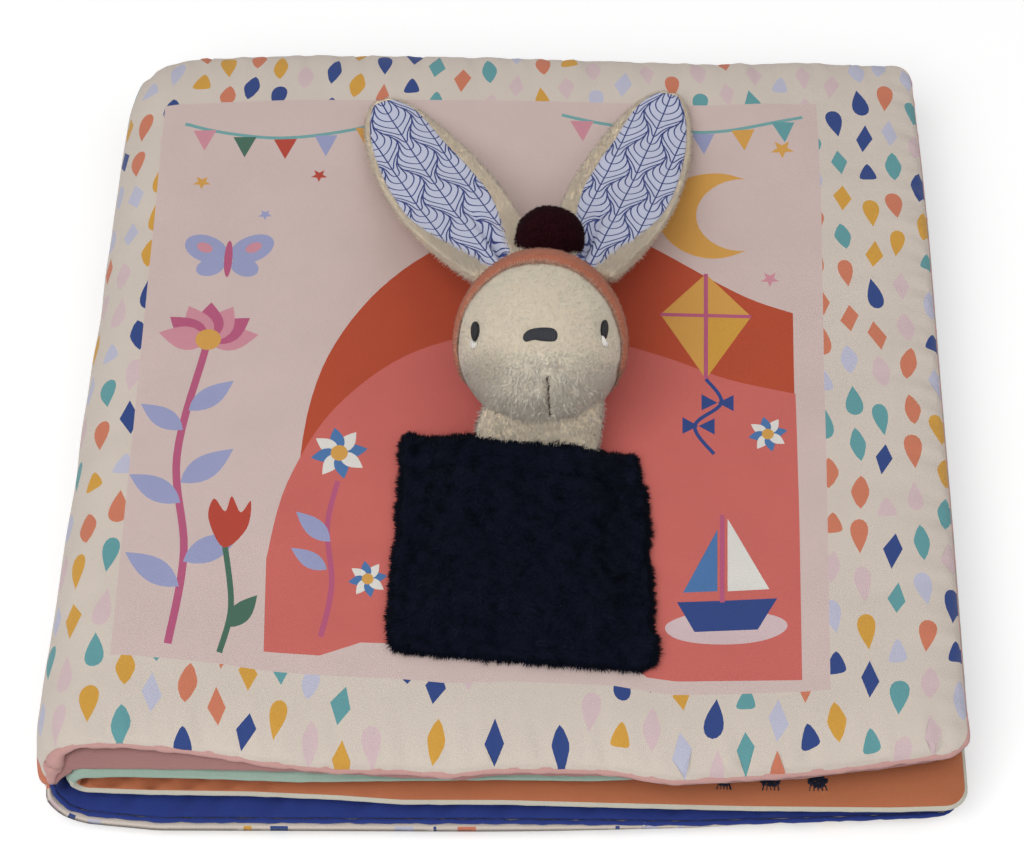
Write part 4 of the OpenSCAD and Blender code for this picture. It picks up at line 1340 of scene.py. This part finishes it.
def ear_form(side, s, w):
    """Height of an ear's upper side: its thickness, a fold at the root and soft waves."""
    t = w / np.maximum(ear_half(s), 0.3)
    line = side * (-1.6 - 5.0 * (s - 0.1))
    reach = (1 - smooth((s - 0.16) / 0.3)) * smooth((s - 0.02) / 0.05)
    fold = -2.3 * np.exp(-((w - line) / 0.8) ** 2) + 0.8 * np.exp(-((w - line + side * 2.4) / 1.6) ** 2)
    return EAR_T * (0.45 + 0.55 * np.sqrt(np.maximum(1 - t * t, 0))) + fold * reach + 0.22 * waves(s
                                                                                                   * EAR_L,
                                                                                                   w, 15,
                                                                                                   81 + side)


def ear_place(side, s, w, up):
    """A point of an ear: s along it, w sideways in millimetres, up from its underside."""
    root = from_head(EAR_ROOT[side], False)
    turn = EAR_TURN[side]
    t = w / np.maximum(ear_half(s), 0.3)
    z = EAR_TIP_Z + (root[2] - EAR_TIP_Z) * np.maximum(1 - s, 0) ** 1.5 + 1.6 * t * t * (1 - s)
    z = z + 1.1 * np.abs(t) ** 3 * smooth((0.75 - s) / 0.5)
    return np.stack([root[0] - EAR_L * s * math.sin(turn) + w * math.cos(turn),
                     root[1] + EAR_L * s * math.cos(turn) + w * math.sin(turn), z + up], -1)


def make_ear(side, material):
    name = "left" if side < 0 else "right"
    s = np.concatenate([np.linspace(0.04, 0.9, 52), [0.925, 0.95, 0.968, 0.98, 0.988, 0.993]])
    t = np.sin(np.linspace(-math.pi / 2, math.pi / 2, 27))
    ss, tt = np.meshgrid(s, t, indexing="ij")
    w = ear_half(ss) * tt
    under = smooth((ear_room(side, ss, w) - np.abs(w)) / 0.8) * smooth((ss - 0.07) / 0.03)
    top = ear_place(side, ss, w, np.maximum(ear_form(side, ss, w) - 0.6 * under, 0.15))
    low = ear_place(side, ss, w, 0 * ss)
    r, c = ss.shape
    tris = grid_tris(r, c, flip=True)
    ring = ring_of(r, c)[::-1]
    v, f, _ = closed_solid(top.reshape(-1, 3), tris, ring, [], low.reshape(-1, 3), tris, ring)
    f = facing_out(v, f)
    n = normals_of(v, f)
    cloth = Cloth()
    # Painted light: the ear's ink is lifted to 1.3 times the plush's, making up for the shade its pile casts
    # on it.
    cloth.add(v, f, INK["plush_cream"] * 1.3, n=n)
    rng = np.random.default_rng(83 + side)
    flat_s, flat_t = np.tile(ss.ravel(), 2), np.tile(tt.ravel(), 2)
    mid_t, mid_s = flat_t[f].mean(axis=1), flat_s[f].mean(axis=1)
    mid_w = mid_t * ear_half(mid_s)
    upper = (f < len(top.reshape(-1, 3))).all(axis=1)
    under_lining = upper & (np.abs(mid_w) < ear_room(side, mid_s, mid_w) - 0.1)
    weight = np.where(under_lining, 0.0, 1.0) * np.where(upper | (np.abs(mid_t) > 0.8), 1.0, 0.3)
    weight = weight * (1 + 0.8 * (mid_s < 0.3))
    place, out = scatter(v, f, n, 17000, rng, weight)
    root = from_head(EAR_ROOT[side], False)
    gone = np.linalg.norm(place - root, axis=1) / EAR_L
    shaggy = 1 - smooth((gone - 0.12) / 0.25)
    comb = unit(place - root) * np.array([1, 1, 0.2]) + 0.5 * shaggy[:, None] * rng.normal(size=place.shape)
    # Painted light: the ear's tufts are lifted to 1.4 times the plush's ink, a little more where shaggy,
    # making up for the shade they cast on each other at the rolled rim.
    tufts(cloth, place, out, comb, 1.1 + 1.1 * shaggy, 0.28 + 0.06 * shaggy, rng,
          INK["plush_cream"][None, :] * (1.4 + 0.08 * shaggy)[:, None], vary=0.06, lean=0.8)
    return cloth.piece("ear_" + name + "_plush", material, "front", ("ear_" + name,),
                       own_normals=True)


def ear_pattern(side):
    """Leaf veins side by side: each leaf swells where its neighbours narrow."""
    shapes, column, swing, wave = [], 7.6, 1.7, 19.0

    def edge_of(k, a):
        sway = swing * math.sin(a * 2 * math.pi / wave + (math.pi if k % 2 else 0))
        return (k + 0.5) * column + sway + (1.1 if side > 0 else -0.9)

    for k in range(-3, 3):
        shapes.append((ribbon([(a, edge_of(k, a)) for a in np.linspace(2, 92, 60)], 0.42), "ear_line"))
    for k in range(-2, 3):
        def stem(a):
            return (edge_of(k, a) + edge_of(k - 1, a)) / 2
        shapes.append((ribbon([(a, stem(a)) for a in np.linspace(2, 92, 50)], 0.4), "ear_line"))
        for m in range(-2, 28):
            a0 = m * 3.5 + 1.5 * (k % 2)
            for way in (0, -1):
                pts = []
                for t in np.linspace(0.02, 0.97, 8):
                    a = a0 + 7.0 * t ** 1.6
                    pts.append((a, stem(a) * (1 - t ** 0.85) + edge_of(k + way, a) * t ** 0.85))
                shapes.append((ribbon(pts, 0.38), "ear_line"))
    return shapes


def make_ear_lining(side, material):
    """Pale cotton printed with a line pattern of leaf veins, in columns along the ear."""
    name = "left" if side < 0 else "right"
    s_at = np.concatenate([np.linspace(0.07, 0.86, 48), [0.88, 0.9, 0.92, 0.935, 0.95, 0.96, 0.968, 0.975]])
    one, two = ear_room(side, s_at, -1.0 + 0 * s_at), ear_room(side, s_at, 1.0 + 0 * s_at)
    outline = [(a * EAR_L, -w) for a, w in zip(s_at, one)] + [(a * EAR_L, w) for a,
                                                              w in zip(s_at[::-1], two[::-1])]
    inner = []
    for a in np.linspace(0.08, 0.965, 66):
        for t in np.linspace(-0.92, 0.92, 17):
            inner.append((a * EAR_L, t * float(ear_room(side, a, t))))
    flat, tris, ink = painted(outline, inner, ear_pattern(side))
    flat, tris = compact(flat, tris)
    a, w = flat[:, 0] / EAR_L, flat[:, 1]
    up = ear_form(side, a, w) + 0.4 + 0.3 * np.sqrt(np.clip(1 - np.abs(w) / ear_room(side, a, w), 0, 1))
    top = ear_place(side, a, w, up)
    ring = outer_ring(tris)
    low = ear_place(side, a, w, up - 0.55)
    v, f, _ = closed_solid(top, tris, ring, [], low, tris, ring)
    f = facing_out(v, f)
    colours = np.tile(INK["ear_cotton"], (len(f), 1))
    for k, n in enumerate(ink):
        if n:
            colours[k] = INK[n]
    cloth = Cloth()
    cloth.add(v, f, colours, np.concatenate([flat, flat]))
    obj = cloth.piece("ear_" + name + "_print", material, "front", ("ear_lining_" + name,),
                      own_normals=True)
    return obj


# Body, pompom and small things
def make_body(material):
    """Only the neck shows; the rest fills the pocket."""
    d = np.concatenate([spaced(8, 54, 2.0), [55.5]])
    t = np.sin(np.linspace(-math.pi / 2, math.pi / 2, 33))
    rows_top, rows_low = [], []
    for q in d:
        y = q - POCKET_L / 2
        near = smooth(1 - (POCKET_L / 2 - y) / 20)
        raised = SEAM_HALF * (0.56 - 0.1 * near)
        w = raised + 0.58 * (SEAM_HALF - raised)
        w = w + (NECK_W + 1 - w) * smooth((q - 50) / 6)
        x = t * w + NECK_SHIFT * smooth((q - POCKET_L + 14) / 10)
        rows_top.append(on_cover(x, np.full_like(x, y), LAY + np.maximum(hollow(x, np.full_like(x, y))
                                                                         - 0.6, 0.15)))
        rows_low.append(on_cover(x, np.full_like(x, y), LAY + 0 * x))
    # a soft collar between the mouth and the head
    chin_x, chin_z = t * (NECK_W - 0.6) + 0.5 * NECK_SHIFT + 1, np.full_like(t, -0.55 * HEAD_B)
    half_deep = 0.6 + 8.6 * np.sqrt(1 - t * t)
    tip_top, tip_low = [from_head(np.stack([chin_x, way * half_deep, chin_z], 1), False) for way in (-1, 1)]
    for k in np.linspace(0.15, 1, 9):
        bulge = 2.2 * math.sin(math.pi * min(k * 1.15, 1)) ** 0.8
        a = rows_top[len(d) - 1] * (1 - k) + tip_top * k
        b = rows_low[len(d) - 1] * (1 - k) + tip_low * k
        a = a + np.stack([np.sign(t) * bulge * 0.6 * np.abs(t) ** 3, 0 * t, bulge * np.sqrt(1 - t * t)], 1)
        rows_top.append(a)
        rows_low.append(b)
    top, low = np.array(rows_top), np.array(rows_low)
    r, c = top.shape[:2]
    tris = grid_tris(r, c, flip=True)
    ring = ring_of(r, c)[::-1]
    v, f, _ = closed_solid(top.reshape(-1, 3), tris, ring, [], low.reshape(-1, 3), tris, ring)
    f = facing_out(v, f)
    n = normals_of(v, f)
    cloth = Cloth()
    cloth.add(v, f, INK["neck"], n=n)
    rng = np.random.default_rng(91)
    seen = v[f].mean(axis=1)[:, 1] > MOUTH_Y - 4
    place, out = scatter(v, f, n, 9000, rng, np.where(seen, 1.0, 0.0))
    # Painted light: the neck's tufts are lifted to 1.2 times the neck's ink, making up for the shade among
    # them.
    tufts(cloth, place, out, np.tile([0, -1.0, 0.0], (9000, 1)), 1.5, 0.3, rng, INK["neck"] * 1.2,
          vary=0.12, lean=0.9)
    return cloth.piece("torso", material, "front", ("rabbit_body",), own_normals=True)


def make_pompom(material):
    reach = HEAD_B + 9.2
    centre = from_head((2, reach * math.sin(BROW), reach * math.cos(BROW)), False)
    rng = np.random.default_rng(95)
    count = 17000
    z = rng.uniform(-1, 1, count)
    th = rng.uniform(0, 2 * math.pi, count)
    way = np.stack([np.sqrt(1 - z * z) * np.cos(th), np.sqrt(1 - z * z) * np.sin(th), z], 1)
    rows, cols = 40, 60
    a = np.linspace(-math.pi / 2, math.pi / 2, rows + 2)[1:-1]
    ph = np.linspace(0, 2 * math.pi, cols, endpoint=False)
    aa, pp = np.meshgrid(a, ph, indexing="ij")
    dirs = np.stack([np.cos(aa) * np.cos(pp), np.cos(aa) * np.sin(pp), np.sin(aa)], -1).reshape(-1, 3)
    dirs = np.concatenate([dirs, [[0, 0, -1], [0, 0, 1]]])
    lump = 8.35 + 0.22 * waves(dirs[:, 0] * 9 + dirs[:, 2] * 5, dirs[:, 1] * 9, 6, 96)
    v = centre + dirs * lump[:, None]
    t = ball_tris(rows, cols)
    cloth = Cloth()
    cloth.add(v, t, INK["wool"] * 0.8, n=dirs)
    lump = 8.2 + 0.22 * waves(way[:, 0] * 9 + way[:, 2] * 5, way[:, 1] * 9, 6, 96)
    tufts(cloth, centre + way * lump[:, None], way, rng.normal(size=way.shape), 1.15, 0.5, rng,
          INK["wool"] * 1.15, vary=0.5, lean=0.35)
    return cloth.piece("pompom_wool", material, "front", ("pompom",), own_normals=True)


def make_leaf_marks(material):
    """Three small embroidered marks on the second leaf, half under the cover's edge."""
    cloth = Cloth()
    rng = np.random.default_rng(97)
    for x0, wide in ((53.7, 3.6), (65.0, 4.3), (76.4, 4.6)):
        s0 = -(x0 - FOLD_X + LEAF_ARC)
        for _ in range(110):
            u, w = rng.uniform(-1, 1), rng.uniform(-1, 1)
            if u * u + w * w > 1:
                continue
            s, y = s0 + u * wide / 2, -HALF_L + 5.6 + w * 1.4
            mark_dot(cloth, s, y, 0.95, 0.5)
        for leg in np.linspace(-0.8, 0.8, 5):
            for step in range(3):
                mark_dot(cloth, s0 + leg * wide / 2 + 0.12 * step * leg, -HALF_L + 4.3 - 0.4 * step, 0.55,
                         0.35)
    tick = np.array([(33.6, -114.2, 3.0), (33.6, -115.2, 3.8), (33.6, -115.3, 4.8), (33.6, -114.6, 5.6)])
    tube(cloth, tick, 0.4, INK["white"], tick[:, :2])
    return cloth.piece("leaf_marks", material, "book", ())


def mark_dot(cloth, s, y, size, rise):
    """A low closed knot of thread on the second leaf's upper face."""
    th = np.linspace(0, 2 * math.pi, 6, endpoint=False)
    ring_s, ring_y = s + size / 2 * np.cos(th), y + size / 2 * np.sin(th)
    base = leaf_place(ring_s, ring_y, -leaf_level(ring_s, ring_y, False) + 0.1)
    at = leaf_place(np.array([s]), np.array([y]), -leaf_level(np.array([s]), np.array([y]), False) - rise)
    under = leaf_place(np.array([s]), np.array([y]), -leaf_level(np.array([s]), np.array([y]), False) + 0.15)
    v = np.concatenate([base, at, under])
    k = np.arange(6)
    t = np.concatenate([np.stack([k, (k + 1) % 6, np.full(6, 6)], 1),
                        np.stack([(k + 1) % 6, k, np.full(6, 7)], 1)])
    t = facing_out(v, t)
    cloth.add(v, t, INK["navy"] * 0.12)


def main():
    make_camera()
    make_surroundings()
    print_mat = woven("printed cotton", 0.62, 0.00007)
    lining_mat = woven("plain lining", 0.55, 0.00006, mottle=0.12)
    leaf_mat = woven("leaf cloth", 0.55, 0.00006, mottle=0.12)
    cotton_mat = woven("ear cotton", 0.45, 0.00005, mottle=0.08)
    navy_mat = plush("navy plush", 700, 0.5, 0.01, shine=0.06)
    cream_mat = plush("cream plush", 1100, 0.2, 0.15, 0.0003, through=0.5)
    coral_mat = plush("coral plush", 1300, 0.3, 0.06, 0.0002, through=0.2)
    wool_mat = plush("maroon wool", 600, 0.6, 0.01, shine=0.08)
    thread_mat = satin("satin thread")

    # the sheet bends in a band up the outside of the spine
    cover = make_cover_print(print_mat)
    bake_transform(cover)
    # the pink lining's ink is its own pink darkened partly with painted shade
    pink = make_lining("front_lining", 1, lining_mat, ("front_cover_lining",),
                       "shaded_lining_pink", "roll_pink", 0.8)
    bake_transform(pink)
    blue = make_lining("back_lining", -1, lining_mat, ("back_cover_lining",), "lining_blue",
                       "lining_blue", 0.6)
    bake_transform(blue)
    leaves = make_leaves(leaf_mat)
    make_leaf_marks(thread_mat)

    pocket = make_pocket(navy_mat)
    make_body(cream_mat)
    make_head(cream_mat)
    make_hood(coral_mat)
    nose_form = [(-4.1, -0.9), (-3.8, 0.4), (-2.2, 1.4), (0.6, 1.8), (3.1, 1.6), (4.1, 0.3), (3.5, -1.3),
                 (1.0, -1.5), (-1.5, -1.2), (-3.3, -1.6)]
    eye_form = [(0, 2.5), (0.9, 1.5), (1.0, -0.6), (0.1, -2.5), (-0.9, -1.2), (-0.95, 1.4)]
    gleam_form = [(-0.9, -1.8), (-0.4, -2.2), (0.3, -3.1), (0.9, -3.0), (0.4, -4.2), (-0.7, -3.9)]
    nose = [(NOSE[0] + p, NOSE[1] + q) for p, q in spline(nose_form, 5)]
    patch("nose_stitch", nose, 0.75, thread_mat, ("nose",), INK["thread"] * 1.1)
    for side, name in ((-1, "left"), (1, "right")):
        x, z = EYES[side]
        k = 0.95 if side < 0 else 0.68
        eye, gleam = [[(x + k * p, z + q) for p, q in spline(form, 5)] for form in (eye_form, gleam_form)]
        patch("eye_" + name + "_stitch", eye, 0.75, thread_mat, ("eye_" + name,), INK["thread"] * 0.25,
              extra=[(gleam, INK["white"] * 1.15)])
    for side in (-1, 1):
        make_ear(side, cream_mat)
        make_ear_lining(side, cotton_mat)
    make_pompom(wool_mat)


main()
